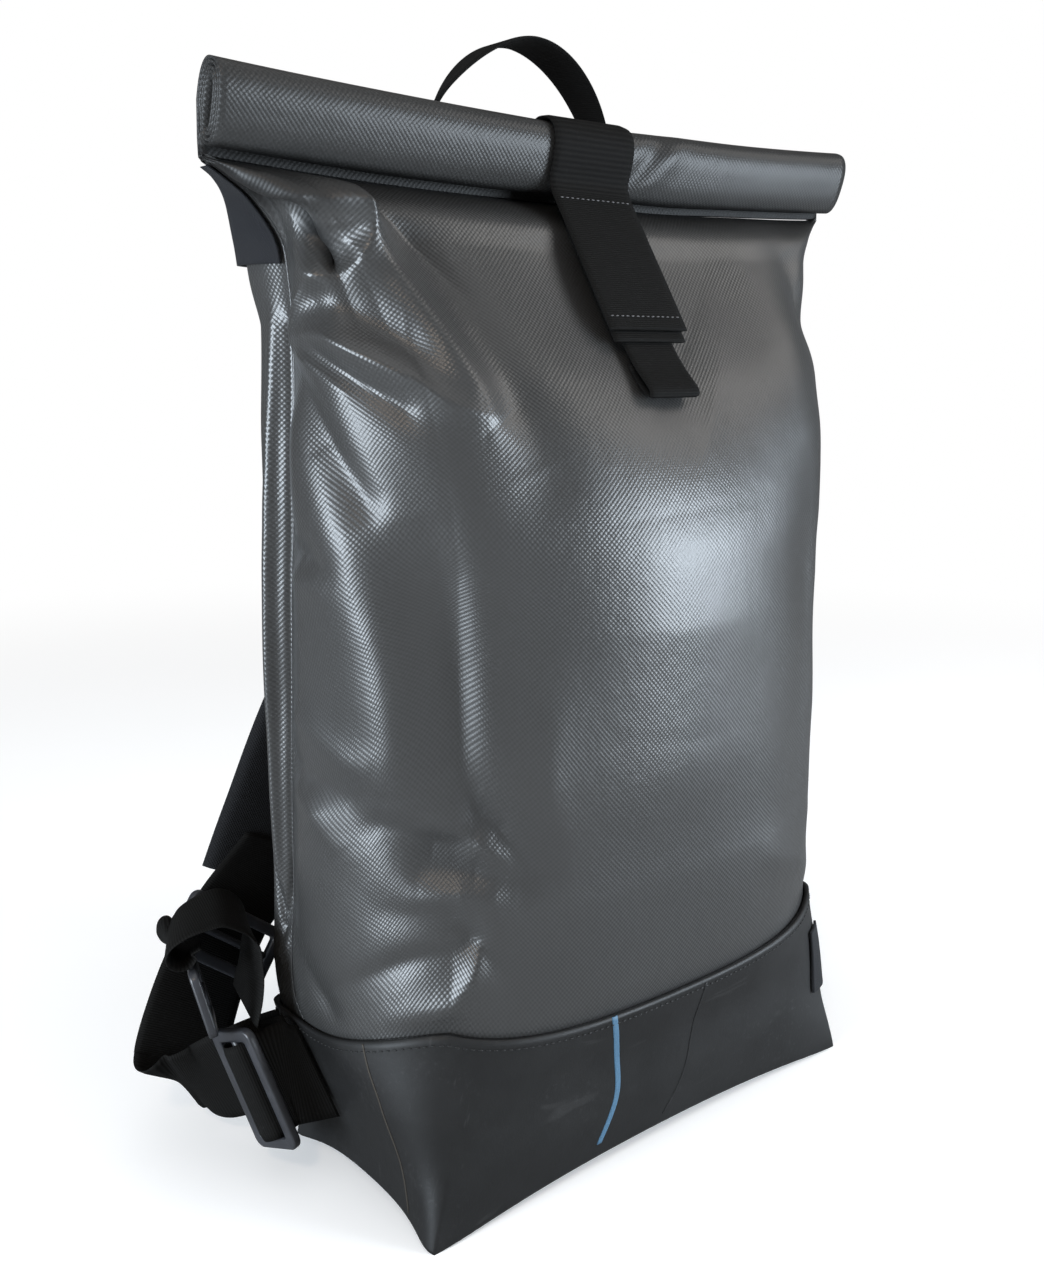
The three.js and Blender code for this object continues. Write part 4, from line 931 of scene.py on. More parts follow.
@dataclass
class StitchRow:
    """A row of stitches along a line, made by Geometry Nodes. Sizes are in millimetres."""

    name: str
    finish: Finish
    pitch: float = 4.0
    share: float = 0.62
    radius: float = 0.42

    def tree(self) -> bpy.types.NodeTree:
        """The node tree that lays a short thread on each step of a line."""
        if "stitch_row" in bpy.data.node_groups:
            return bpy.data.node_groups["stitch_row"]
        tree = bpy.data.node_groups.new("stitch_row", "GeometryNodeTree")
        interface = tree.interface
        interface.new_socket("Geometry", in_out="INPUT", socket_type="NodeSocketGeometry")
        for label in ("Pitch", "Length", "Radius"):
            interface.new_socket(label, in_out="INPUT", socket_type="NodeSocketFloat")
        interface.new_socket("Thread", in_out="INPUT", socket_type="NodeSocketMaterial")
        interface.new_socket("Geometry", in_out="OUTPUT", socket_type="NodeSocketGeometry")
        bench = NodeBench(tree)
        given, leave = bench.add("NodeGroupInput").outputs, bench.add("NodeGroupOutput")
        line = bench.add("GeometryNodeMeshToCurve", {0: given["Geometry"]})
        steps = bench.add("GeometryNodeResampleCurve", {"Curve": line.outputs[0], "Length": given["Pitch"]},
                          mode="LENGTH")
        thread = bench.add("GeometryNodeMeshUVSphere", {"Segments": 6, "Rings": 5, "Radius": 1.0})
        half = bench.math("MULTIPLY", given["Length"], 0.5)
        size = bench.add("ShaderNodeCombineXYZ", {0: given["Radius"], 1: given["Radius"], 2: half})
        shaped = bench.add("GeometryNodeTransform",
                           {"Geometry": thread.outputs[0], "Scale": size.outputs[0]})
        way = bench.add("GeometryNodeInputTangent")
        turn = bench.add("FunctionNodeAlignRotationToVector", {"Vector": way.outputs[0]}, axis="Z")
        laid = bench.add("GeometryNodeInstanceOnPoints", {
            "Points": steps.outputs[0], "Instance": shaped.outputs[0], "Rotation": turn.outputs[0]})
        real = bench.add("GeometryNodeRealizeInstances", {0: laid.outputs[0]})
        smooth = bench.add("GeometryNodeSetShadeSmooth", {0: real.outputs[0]})
        painted = bench.add("GeometryNodeSetMaterial", {0: smooth.outputs[0], "Material": given["Thread"]})
        bench.feed(leave.inputs[0], painted.outputs[0])
        return tree

    def lay(self, lines: Sequence[np.ndarray]) -> bpy.types.Object:
        """Lays the stitches.

        Args:
            lines: points of each line, in millimetres.

        Returns:
            The stitches as one mesh object that rides on the pack.
        """
        points = np.concatenate(lines)
        edges, start = [], 0
        for line in lines:
            edges += [(start + i, start + i + 1) for i in range(len(line) - 1)]
            start += len(line)
        mesh = bpy.data.meshes.new(self.name + "_line")
        mesh.from_pydata((points * MM).tolist(), edges, [])
        guide = bpy.data.objects.new(self.name + "_guide", mesh)
        bpy.context.scene.collection.objects.link(guide)
        modifier = guide.modifiers.new("stitches", "NODES")
        modifier.node_group = self.tree()
        values = {"Pitch": self.pitch * MM, "Length": self.pitch * self.share * MM,
                  "Radius": self.radius * MM, "Thread": self.finish.material()}
        for item in modifier.node_group.interface.items_tree:
            if item.in_out == "INPUT" and item.name in values:
                modifier[item.identifier] = values[item.name]
        bpy.context.view_layer.update()
        evaluated = guide.evaluated_get(bpy.context.evaluated_depsgraph_get())
        made = bpy.data.meshes.new_from_object(evaluated)
        bpy.data.objects.remove(guide)
        made.name = self.name
        thing = bpy.data.objects.new(self.name, made)
        bpy.context.scene.collection.objects.link(thing)
        return dress(thing, self.finish)


@dataclass
class TarpBody:
    """The two tarpaulin walls and the black yoke on the back."""

    front_columns: tuple = ((0.35, 144), (1.0, 128))
    back_columns: tuple = ((0.2, 48), (0.8, 72), (1.0, 48))
    front_rows: int = 316
    back_rows: int = 200
    coarse: int = 4
    seam_gap: float = 0.35
    yoke_edge: float = 0.004
    yoke_rows: tuple = (6, 1)
    # Relief depths and neck heights over which the painted shade comes in
    painted_shade_depths: tuple = (3.0, 13.0)
    shade_heights: tuple = (0.955, 0.978)

    def surface(self, shares: np.ndarray, rows: int, relief: Relief) -> tuple:
        """Points and cloth coordinates of a half.

        Args:
            shares: places across the half, from 0 to 1.
            rows: steps up the half.
            relief: the half's folds.

        Returns:
            The grid of points, its outward normals, and U and V in metres.
        """
        half = relief.half
        way = half_directions(shares, half)
        across, along = way[None, :, 0], way[None, :, 1]
        low = BODY.place_at(BODY.boot_edge(across, along) - BOOT_OVERLAP)
        place = low + (BODY.top - low) * np.linspace(0, 1, rows + 1)[:, None]
        points = BODY.point(place, across, along)
        points[..., 1] += self.seam_gap * half.value
        sign = -half.value
        uv = self.cloth(points, shares)
        depth = relief.depth(np.broadcast_to(shares, points.shape[:2]), points[..., 2])
        points = points + sign * grid_normals(points) * depth[..., None]
        return points, sign * grid_normals(points), uv

    def cloth(self, points: np.ndarray, shares: np.ndarray) -> np.ndarray:
        """U along the cloth's width and V up it, in metres."""
        middle = int(np.argmin(np.abs(shares - 0.5)))
        u = length_along(points, 1)
        u = u - u[:, middle:middle + 1]
        v = np.broadcast_to(length_along(points[:, middle:middle + 1], 0), u.shape)
        return np.stack([u, v], -1) * MM

    def panel(self, name: str, shares: np.ndarray, rows: int, relief: Relief) -> bpy.types.Object:
        """One wall of the body as a closed sheet, with painted shade in its sunken folds and a painted
        shadow on the neck under the roll.
        """
        points, normals, uv = self.surface(shares, rows, relief)
        wall = sheet_object(name, points, points - normals * TARP_WALL, uv, self.coarse)
        height = points[..., 2]
        # Painted shade: darker where folds sink, and a painted shadow on the neck right under the roll.
        painted_fold_shade = fade(-relief.depth(np.broadcast_to(shares, height.shape), height), *self.painted_shade_depths)
        painted_roll_shadow = fade(height, *(NECK_HEIGHT * np.array(self.shade_heights)))
        shade(wall, np.maximum(painted_fold_shade, painted_roll_shadow))
        return wall

    def yoke(self) -> bpy.types.Object:
        """The black band on the top of the back."""
        shares = np.linspace(self.yoke_edge, 1 - self.yoke_edge, self.back_rows + 1)
        way = half_directions(shares, Half.BACK)
        place = back_place(np.linspace(*self.yoke_rows, 41))[:, None]
        outer, inner = (BODY.point(place, way[None, :, 0], way[None, :, 1], outset) + [0, self.seam_gap, 0]
                        for outset in (YOKE_OUTSET, YOKE_OUTSET - YOKE_WALL))
        uv = np.stack([length_along(outer, 1), length_along(outer, 0)], -1) * MM
        return sheet_object("yoke", outer, inner, uv, self.coarse)

    def build(self) -> None:
        """Makes and dresses the pieces."""
        front = self.panel("front_wall", uneven_shares(self.front_columns), self.front_rows,
                           Relief(Half.FRONT, FRONT_FOLDS))
        dress(front, TARP, "front_panel")
        back = self.panel("back_wall", uneven_shares(self.back_columns), self.back_rows,
                          Relief(Half.BACK, BACK_FOLDS))
        dress(back, TARP, "back_panel")
        dress(self.yoke(), YOKE_CLOTH, "back_yoke")


# Name, width, finish, and (share round the front, height) of the points that the line passes
BOOT_MARKS = (
    ("mould_line", 1.0, MOULD_LINE, ((0.101, 88), (0.105, 70), (0.109, 50), (0.115, 25), (0.120, 4))),
    ("blue_line", 3.4, BLUE_LINE, ((0.413, 87), (0.424, 62), (0.427, 42), (0.418, 24), (0.405, 8))),
    ("lap_seam", 1.3, RUBBER, ((0.541, 84), (0.537, 60), (0.531, 34), (0.518, 16), (0.505, 6))),
)


@dataclass
class Boot:
    """The rubber boot with its stitched edge."""

    columns: int = 240
    rows: int = 40
    foot_inset: float = 20.0
    foot_rings: tuple = (0.12, 0.5, 1.0, 2.0)
    outside: float = BOOT_GAP + RUBBER_WALL
    raised: float = 0.1
    mark_wall: float = 0.5
    stitch_drop: float = 4.5
    stitch_pitch: float = 3.6

    def directions(self) -> np.ndarray:
        """Directions all the way round."""
        shares = np.linspace(0, 1, self.columns + 1)
        front, back = half_directions(shares, Half.FRONT), half_directions(shares, Half.BACK)
        return np.concatenate([front, back[::-1][1:-1]])

    def surface(self, outset: float, floor: float) -> np.ndarray:
        """The boot's surface from its edge down to the floor and in under it."""
        directions = self.directions()
        across, along = directions[None, :, 0], directions[None, :, 1]
        share = np.linspace(0, 1, self.rows + 1)[:, None]
        place = BODY.place_at(BODY.boot_edge(across, along)) * (1 - share)
        points = BODY.point(place, across, along, outset)
        points[..., 2] += floor * share
        rings = []
        for inset in self.foot_rings:
            shrink = 1 - inset * self.foot_inset / (0.5 * BASE_DEPTH)
            ring = points[-1] * [shrink, shrink, 1]
            ring[:, 2] = points[-1][:, 2] * max(0.0, 1 - inset) + floor
            rings.append(ring)
        return np.concatenate([points, np.stack(rings)])

    def shell(self) -> bpy.types.Object:
        """The boot as a closed shell."""
        outer = self.surface(self.outside, 0.0)
        inner = self.surface(BOOT_GAP, RUBBER_WALL)
        rows, columns = outer.shape[:2]
        count = rows * columns
        u, v = length_along(outer, 1), outer[..., 2]
        uv = np.stack([u, v], -1).reshape(-1, 2) * MM
        points = np.concatenate([outer.reshape(-1, 3), inner.reshape(-1, 3),
                                 outer[-1].mean(0)[None], inner[-1].mean(0)[None]])
        faces = grid_faces(rows, columns, True).tolist()
        faces += grid_faces(rows, columns, True, count, True).tolist()
        last = count - columns
        for i in range(columns):
            j = (i + 1) % columns
            faces.append([i, i + count, j + count, j])
            faces.append([last + i, last + j, 2 * count])
            faces.append([last + count + j, last + count + i, 2 * count + 1])
        uv = np.concatenate([uv, uv, np.zeros((2, 2))])
        thing = mesh_object("boot", points, faces, uv)
        outwards(thing)
        return thing

    def edge_line(self) -> np.ndarray:
        """The line of the stitches round the boot, below its edge."""
        directions = self.directions()
        place = BODY.place_at(BODY.boot_edge(directions[:, 0], directions[:, 1]) - self.stitch_drop)
        line = BODY.point(place, directions[:, 0], directions[:, 1], self.outside + self.raised)
        return np.concatenate([line, line[:1]])

    def mark(self, name: str, line: Sequence[tuple], width: float, finish: Finish) -> bpy.types.Object:
        """A thin raised line on the rubber.

        Args:
            name: the piece's name.
            line: (share round the front, height) of the points that it passes.
            width: its width in millimetres.
            finish: its finish.

        Returns:
            The line.
        """
        course = bend(np.array(line), 40)

        def at(shift: float) -> np.ndarray:
            """Points of the line, moved sideways by a share."""
            way = half_directions(course[:, 0] + shift, Half.FRONT)
            return BODY.point(BODY.place_at(course[:, 1]), way[:, 0], way[:, 1], self.outside + self.raised)

        side = at(0.004) - at(-0.004)
        return dress(Ribbon(name, at(0), side, width, self.mark_wall, 6).build(), finish)

    def build(self) -> None:
        """Makes and dresses the boot."""
        dress(self.shell(), RUBBER, "base_boot")
        for name, width, finish, line in BOOT_MARKS:
            self.mark(name, line, width, finish)
        StitchRow("boot_stitches", DARK_THREAD, self.stitch_pitch).lay([self.edge_line()])


ROLL_HEIGHT = 36.0
ROLL_THICKNESS = 21.0
ROLL_LEAN = math.radians(16)
ROLL_TURNS = 1.8
ROLL_LAYER = 2.6
ROLL_LAYER_GAP = 1.1
ROLL_FORWARD = 9.5
ROLL_POWER = 2.6
ROLL_GAP = 0.6


def roll_path(start: float, end: float, steps: int, outset: float = 0.0) -> np.ndarray:
    """Points of the roll's flattened spiral, from outside to inside.

    Args:
        start: the first turn.
        end: the last turn.
        steps: steps along it.
        outset: how far outside the middle of its layer.

    Returns:
        Rows of [Y, Z].
    """
    neck = SECTIONS[-1]
    turn = np.linspace(start, end, steps + 1)
    inset = (ROLL_LAYER + ROLL_LAYER_GAP) * np.maximum(turn, 0) + 0.5 * ROLL_LAYER - outset
    c, s = np.cos(2 * np.pi * turn), np.sin(2 * np.pi * turn)
    reach = (np.abs(c) ** ROLL_POWER + np.abs(s) ** ROLL_POWER) ** (-1 / ROLL_POWER)
    y = (0.5 * ROLL_THICKNESS - inset) * c * reach
    z = (0.5 * ROLL_HEIGHT - inset) * s * reach
    return np.stack([neck.seam_y - ROLL_FORWARD + y * math.cos(ROLL_LEAN) - z * math.sin(ROLL_LEAN),
                     NECK_HEIGHT + ROLL_GAP + 0.5 * ROLL_HEIGHT + z * math.cos(ROLL_LEAN)
                     + y * math.sin(ROLL_LEAN)], -1)


def offset_path(points: np.ndarray, distance: float) -> np.ndarray:
    """Moves a path of [Y, Z] points sideways, to the left of its direction."""
    after, before = np.roll(points, -1, 0), np.roll(points, 1, 0)
    after[-1], before[0] = points[-1], points[0]
    way = unit(after - before)
    return points + distance * np.stack([-way[:, 1], way[:, 0]], -1)


def swept(name: str, line: np.ndarray, side: np.ndarray, normal: np.ndarray, outline: np.ndarray,
          along: Optional[np.ndarray] = None) -> bpy.types.Object:
    """A closed solid: an outline carried along a line.

    Args:
        name: the piece's name.
        line: the line's points.
        side: the outline's first axis at each point.
        normal: the outline's second axis at each point.
        outline: the outline's points.
        along: V at each point, or none for the distance along the line.

    Returns:
        The new object, with U across it and V along it.
    """
    grid = line[:, None] + side[:, None] * outline[None, :, :1] + normal[:, None] * outline[None, :, 1:]
    rows, columns = grid.shape[:2]
    v = length_along(line[:, None], 0) if along is None else along
    uv = np.stack([np.broadcast_to(axis, (rows, columns)) for axis in (outline[None, :, 0], v)], -1)
    faces = grid_faces(rows, columns, True).tolist()
    faces.append(list(range(columns)))
    faces.append([(rows - 1) * columns + i for i in reversed(range(columns))])
    thing = mesh_object(name, grid.reshape(-1, 3), faces, uv.reshape(-1, 2) * MM)
    outwards(thing)
    return thing


@dataclass
class Ribbon:
    """Flat webbing along a line of stations, each with a direction for its width."""

    name: str
    points: np.ndarray
    sides: np.ndarray
    width: float = WEBBING_WIDTH
    wall: float = WEBBING_WALL
    across: int = 14
    fineness: Optional[np.ndarray] = None
    edge_power: int = 24
    edge_share: float = 0.25
    loose_share: float = 0.15

    def frames(self) -> tuple:
        """The width directions and the normals, square to the line but for its two ends."""
        way = unit(np.gradient(self.points, axis=0))
        side = unit(self.sides)
        t = np.linspace(0, 1, len(side))
        square = fade(np.minimum(t, 1 - t), 0, self.loose_share)[:, None]
        side = unit(side - square * np.sum(side * way, 1, keepdims=True) * way)
        return side, unit(np.cross(way, side))

    def outline(self) -> np.ndarray:
        """The webbing's section: flat faces with rounded edges."""
        half = np.linspace(-0.5, 0.5, self.across + 1)
        full = np.sqrt(np.maximum(1 - (np.abs(half) / 0.5) ** self.edge_power, 0))
        rise = 0.5 * self.wall * np.minimum(1, full + self.edge_share)
        top = np.stack([half * self.width, rise], -1)
        return np.concatenate([top, top[::-1] * [1, -1]])

    def build(self) -> bpy.types.Object:
        """The ribbon as a closed mesh, with U across it and V along it."""
        side, normal = self.frames()
        along = length_along(self.points[:, None], 0)
        if self.fineness is not None:
            along = np.cumsum(np.diff(along, axis=0, prepend=0) * self.fineness[:, None], 0)
        return swept(self.name, self.points, side, normal, self.outline(), along)


def bend(points: np.ndarray, steps: int) -> np.ndarray:
    """A smooth curve through points, with knots spaced by the root of their distance.

    Args:
        points: the points that it passes.
        steps: steps in all, shared evenly among the spans.

    Returns:
        steps + 1 points.
    """
    points = np.asarray(points, float)
    full = np.concatenate([[2 * points[0] - points[1]], points, [2 * points[-1] - points[-2]]])
    last = len(points) - 1
    at = np.linspace(0, last, steps + 1)
    index = np.minimum(at.astype(int), last - 1)
    t = (at - index)[:, None]
    p0, p1, p2, p3 = full[index], full[index + 1], full[index + 2], full[index + 3]
    d0, d1, d2 = (np.sqrt(np.linalg.norm(end - start, axis=1, keepdims=True))
                  for start, end in ((p0, p1), (p1, p2), (p2, p3)))
    d1 = np.maximum(d1, SHORTEST)
    d0, d2 = np.where(d0 < SHORTEST, d1, d0), np.where(d2 < SHORTEST, d1, d2)
    first = ((p1 - p0) / d0 - (p2 - p0) / (d0 + d1) + (p2 - p1) / d1) * d1
    second = ((p2 - p1) / d1 - (p3 - p1) / (d1 + d2) + (p3 - p2) / d2) * d1
    return (p1 + first * t + (-3 * p1 + 3 * p2 - 2 * first - second) * t ** 2
            + (2 * p1 - 2 * p2 + first + second) * t ** 3)


@dataclass
class Roll:
    """The flattened mouth of the bag, wound forwards in two thin layers."""

    steps: int = 230
    columns: int = 110
    layer: float = 1.05
    lean: float = 0.2
    riser: float = 0.2
    # Heights below which the roll's underside gets painted shade
    shade_heights: tuple = (NECK_HEIGHT + 3.0, NECK_HEIGHT + 6.0)
    swells: tuple = ((0.05, 62, 34), (-0.05, 0, 30), (0.03, -110, 60))
    crease_place: float = 34.0
    crease_slant: float = 0.9
    crease_depth: float = 1.5

    def path(self) -> np.ndarray:
        """The middle line of the double layer, from the neck inwards, as [Y, Z]."""
        neck = SECTIONS[-1]
        low = np.array([neck.seam_y, NECK_HEIGHT + ROLL_GAP])
        high = np.array([neck.seam_y + self.lean, NECK_HEIGHT + self.riser * ROLL_HEIGHT])
        start = low + (high - low) * np.linspace(0, 1, 12)[:, None]
        return np.concatenate([start, roll_path(0, ROLL_TURNS, self.steps)])

    def sheet(self, name: str, offset: float) -> bpy.types.Object:
        """One of the two layers, with painted shade on the roll's underside."""
        path = self.path()
        share = np.linspace(-1, 1, self.columns + 1)

        def face(distance: float) -> np.ndarray:
            """The layer's points at a distance from the middle line."""
            line = offset_path(path, distance)
            rows = np.zeros((len(line), len(share), 3))
            rows[..., 0] = 0.5 * FLAT_WIDTH * share
            rows[..., 1] = line[:, :1]
            rows[..., 2] = line[:, 1:] - NECK_SAG * (1 - share ** 2)
            return self.settle(rows)

        outer, inner = face(offset - 0.5 * self.layer), face(offset + 0.5 * self.layer)
        u = outer[..., 0]
        v = np.broadcast_to(length_along(outer[:, :1], 0), u.shape)
        made = sheet_object(name, outer, inner, np.stack([u, v], -1) * MM)
        places = np.zeros(3 * len(made.data.vertices))
        made.data.vertices.foreach_get("co", places)
        x, _, z = places.reshape(-1, 3).T / MM
        # Painted shade on the roll's underside, where it sits on the neck.
        shade(made, 1 - fade(z + self.sag(x), *self.shade_heights))
        return made

    def sag(self, x: np.ndarray) -> np.ndarray:
        """How far the roll hangs down at a place across it."""
        return NECK_SAG * (1 - (2 * x / FLAT_WIDTH) ** 2)

    def settle(self, points: np.ndarray) -> np.ndarray:
        """Makes the roll uneven: fuller beside the strap and pinched under it."""
        x = points[..., 0]
        centre_z = NECK_HEIGHT + 0.5 * ROLL_HEIGHT
        centre_y = SECTIONS[-1].seam_y - ROLL_FORWARD
        fuller = sum(swell * np.exp(-((x - middle) / reach) ** 2) for swell, middle, reach in self.swells)
        height = points[..., 2] + self.sag(x)
        result = points.copy()
        across = x - self.crease_place - self.crease_slant * (height - centre_z)
        creased = np.exp(-(across / 6) ** 2) - 0.7 * np.exp(-((across - 12) / 8) ** 2)
        result[..., 1] += self.crease_depth * creased * fade(centre_y - points[..., 1], 0, 8)
        result[..., 1] += (points[..., 1] - centre_y) * fuller
        result[..., 2] += np.minimum(height - centre_z, 8) * fuller
        return result

    def build(self) -> None:
        """Makes and dresses the roll."""
        half = 0.5 * ROLL_LAYER - 0.5 * self.layer
        dress(self.sheet("roll_outer_layer", -half), ROLLED_TARP, "top_roll")
        dress(self.sheet("roll_inner_layer", half), ROLLED_TARP)


# The pull tab's course: up from the strap's end, and layers under the strap
PULL_TAB = ((0.35, 2), (-0.2, 2), (-0.55, 1.4), (-0.95, 0.2), (-1, 0.75), (-0.95, 1.5), (-0.62, 2.85),
            (-0.42, 3))


@dataclass
class Closure:
    """The strap over the roll, the layer under it and the folded pull tab."""

    drop: float = 75.0
    slope: float = math.radians(56.5)
    gap: float = 0.9
    grip_length: float = 58.0
    grip_width: float = 46.0
    tab_width: float = 32.0
    tab_reach: float = 34.0
    rows_down: tuple = (5, 3)
    over_roll: tuple = (-0.02, 0.56)
    bend_off: tuple = (2, 6)
    roll_fineness: float = 0.45
    stitches: tuple = (4.0, 6.5)
    stitch_reach: float = 21.0

    def path(self) -> np.ndarray:
        """The strap's middle line as [Y, Z], from the yoke over the roll to its end."""
        yoke = BODY.point(back_place(np.linspace(*self.rows_down, 9)), 0.0, 1.0, YOKE_OUTSET)[:, 1:]
        over = roll_path(*self.over_roll, 60, 0.5 * ROLL_LAYER) - [0, NECK_SAG]
        held = offset_path(np.concatenate([yoke, over]), -(self.gap + 0.5 * WEBBING_WALL))
        y, z = held[-1]
        bent = np.array([y, z]) - self.bend_off
        end = bent - self.drop * np.array([math.cos(self.slope), math.sin(self.slope)])
        straight = bent + (end - bent) * np.linspace(0, 1, 40)[:, None]
        return np.concatenate([held, straight])

    def under(self, up: float, down: float) -> tuple:
        """A point under the strap's straight part: up from its end, and in towards the pack."""
        y, z = self.path()[-1]
        return (0.0, y + up * math.cos(self.slope) + down * math.sin(self.slope),
                z + up * math.sin(self.slope) - down * math.cos(self.slope))

    def strap(self, name: str, line: np.ndarray, width: float) -> Ribbon:
        """A ribbon in the plane across X."""
        points = line if line.shape[1] == 3 else np.concatenate([np.zeros((len(line), 1)), line], 1)
        return Ribbon(name, points, np.tile([1.0, 0, 0], (len(points), 1)), width)

    def smooth(self, line: np.ndarray, steps: int) -> np.ndarray:
        """The same line with even steps and soft corners."""
        run = length_along(line[:, None], 0)[:, 0]
        at = np.linspace(0, run[-1], steps + 1)
        even = np.stack([np.interp(at, run, line[:, k]) for k in range(line.shape[1])], -1)
        for _ in range(3):
            even[1:-1] = 0.25 * even[:-2] + 0.5 * even[1:-1] + 0.25 * even[2:]
        return even

    def build(self) -> None:
        """Makes and dresses the three layers and their stitches."""
        line = self.smooth(self.path(), 150)
        to_end = length_along(line[::-1][:, None], 0)[::-1, 0]
        outer = self.strap("closure_webbing", line, WEBBING_WIDTH)
        outer.fineness = 1 - (1 - self.roll_fineness) * fade(to_end, self.drop - 1, self.drop + 1)
        dress(outer.build(), WEBBING, "closure_strap")
        rows = []
        for distance in (self.drop - self.stitches[0], self.stitches[1]):
            where = int(np.argmin(np.abs(to_end - distance)))
            way = unit(line[where + 1] - line[where - 1])
            y, z = line[where] + (0.5 * WEBBING_WALL + 0.12) * np.array([way[1], -way[0]])
            rows.append(np.array([[-self.stitch_reach, y, z], [self.stitch_reach, y, z]]))
        StitchRow("closure_stitches", LIGHT_THREAD, 3.2, 0.6, 0.28).lay(rows)
        layer = WEBBING_WALL + CLEARANCE
        grip = np.array([self.under(u, layer) for u in np.linspace(self.grip_length, -5, 40)])
        dress(self.strap("closure_layer", grip, self.grip_width).build(), WEBBING, "closure_grip")
        tab = bend(np.array([self.under(u * self.tab_reach, d * layer) for u, d in PULL_TAB]), 70)
        dress(self.strap("pull_loop", tab, self.tab_width).build(), WEBBING, "pull_tab")


@dataclass
class Handle:
    """The webbing arch behind the roll."""

    width: float = 28.0
    span: float = 124.0
    top: float = 544.5
    power: float = 1.85
    twist: float = 0.5
    twist_lean: float = 0.25
    forward: float = 6.0
    lift: float = 0.7
    rows_down: int = 4
    foot_steps: int = 11
    steps: int = 120

    def build(self) -> None:
        """Makes and dresses the handle."""
        foot = BODY.point(back_place(self.rows_down), 0.0, 1.0, YOKE_OUTSET)
        seat = CLEARANCE + 0.5 * WEBBING_WALL + self.lift
        angle = np.linspace(0, np.pi, self.steps + 1)
        share = -np.cos(angle)
        rise = (1 - np.minimum(np.abs(share), 1) ** self.power) ** (1 / self.power)
        y = foot[1] + seat - self.forward * rise
        z = NECK_HEIGHT + (self.top - 0.5 * WEBBING_WALL - NECK_HEIGHT) * rise
        arch = np.stack([0.5 * self.span * share, y, z], -1)
        count = self.foot_steps
        up = np.linspace(foot[2], NECK_HEIGHT, count + 1)[:-1]
        left = np.stack([np.full(count, -0.5 * self.span), np.full(count, foot[1] + seat), up], -1)
        right = left[::-1] * [-1, 1, 1]
        points = np.concatenate([left, arch, right])
        shares = np.concatenate([np.full(count, -1.0), share, np.full(count, 1.0)])
        rises = np.concatenate([np.zeros(count), rise, np.zeros(count)])
        turn = 0.5 * np.pi * (1 - rises ** (self.twist - self.twist_lean * shares))
        sides = np.stack([np.sin(turn), np.cos(turn), np.zeros_like(turn)], -1)
        dress(Ribbon("handle_webbing", points, sides, self.width).build(), WEBBING, "carry_handle")


# Rows of the straps: place from the anchor on the boot, and direction of the width, in webbing widths
LOWER_WEBBING = (
    (-0.41, 1.36, 1.26, 0.9, 0, -0.44), (-0.09, 1.35, 0.94, 0.9, 0, -0.44),
    (0.24, 1.28, 0.50, 0.85, -0.1, -0.52), (0.55, 1.11, 0.06, 0.77, -0.22, -0.6),
    (0.77, 0.94, -0.30, 0.69, -0.31, -0.65), (0.85, 0.82, -0.40, 0.69, -0.31, -0.65),
    (0.79, 0.70, -0.40, 0.69, -0.31, -0.65), (0.64, 0.49, -0.36, 0.5, -0.2, -0.85),
    (0.44, 0.26, -0.20, 0.35, -0.15, -0.92), (0.18, 0.08, -0.05, 0.28, -0.05, -0.96),
    (0, 0, 0, 0.24, 0, -0.97),
)
WEBBING_ON_PAD = (-0.75, 1.37, 1.60, 0.9, 0, -0.44)
LOOSE_END = (
    (0.40, 0.15, 0.56, 0.25, 0.97, 0), (0.33, 0.18, 0.76, 0.25, 0.97, 0), (0.27, 0.24, 0.99, 0.28, 0.96, 0),
    (0.24, 0.30, 1.22, 0.32, 0.95, 0), (0.30, 0.36, 1.40, 0.36, 0.93, 0),
    (0.46, 0.43, 1.50, 0.38, 0.92, -0.02), (0.67, 0.49, 1.47, 0.40, 0.91, -0.05),
    (0.87, 0.54, 1.38, 0.40, 0.90, -0.1), (0.97, 0.57, 1.255, 0.39, 0.89, -0.2),
    (0.92, 0.57, 1.155, 0.38, 0.88, -0.28), (0.80, 0.55, 1.115, 0.38, 0.87, -0.3),
    (0.67, 0.51, 1.165, 0.38, 0.87, -0.3),
)
# Shares of the way from the padded strap's top to its end, in X, Y and Z
SHOULDER = ((0, 0, 0), (0.005, 0.05, 0.10), (0.04, 0.22, 0.24), (0.14, 0.46, 0.40), (0.32, 0.72, 0.56),
            (0.57, 0.92, 0.73), (0.80, 0.99, 0.88), (1, 1, 1))
# The webbing through the slider beside the boot, in slider widths across it and out of it
ANCHOR_LOOP = ((-0.27, -0.36), (-0.22, -0.09), (-0.17, 0.10), (0, 0.176), (0.17, 0.10), (0.22, -0.09),
               (0.27, -0.36))


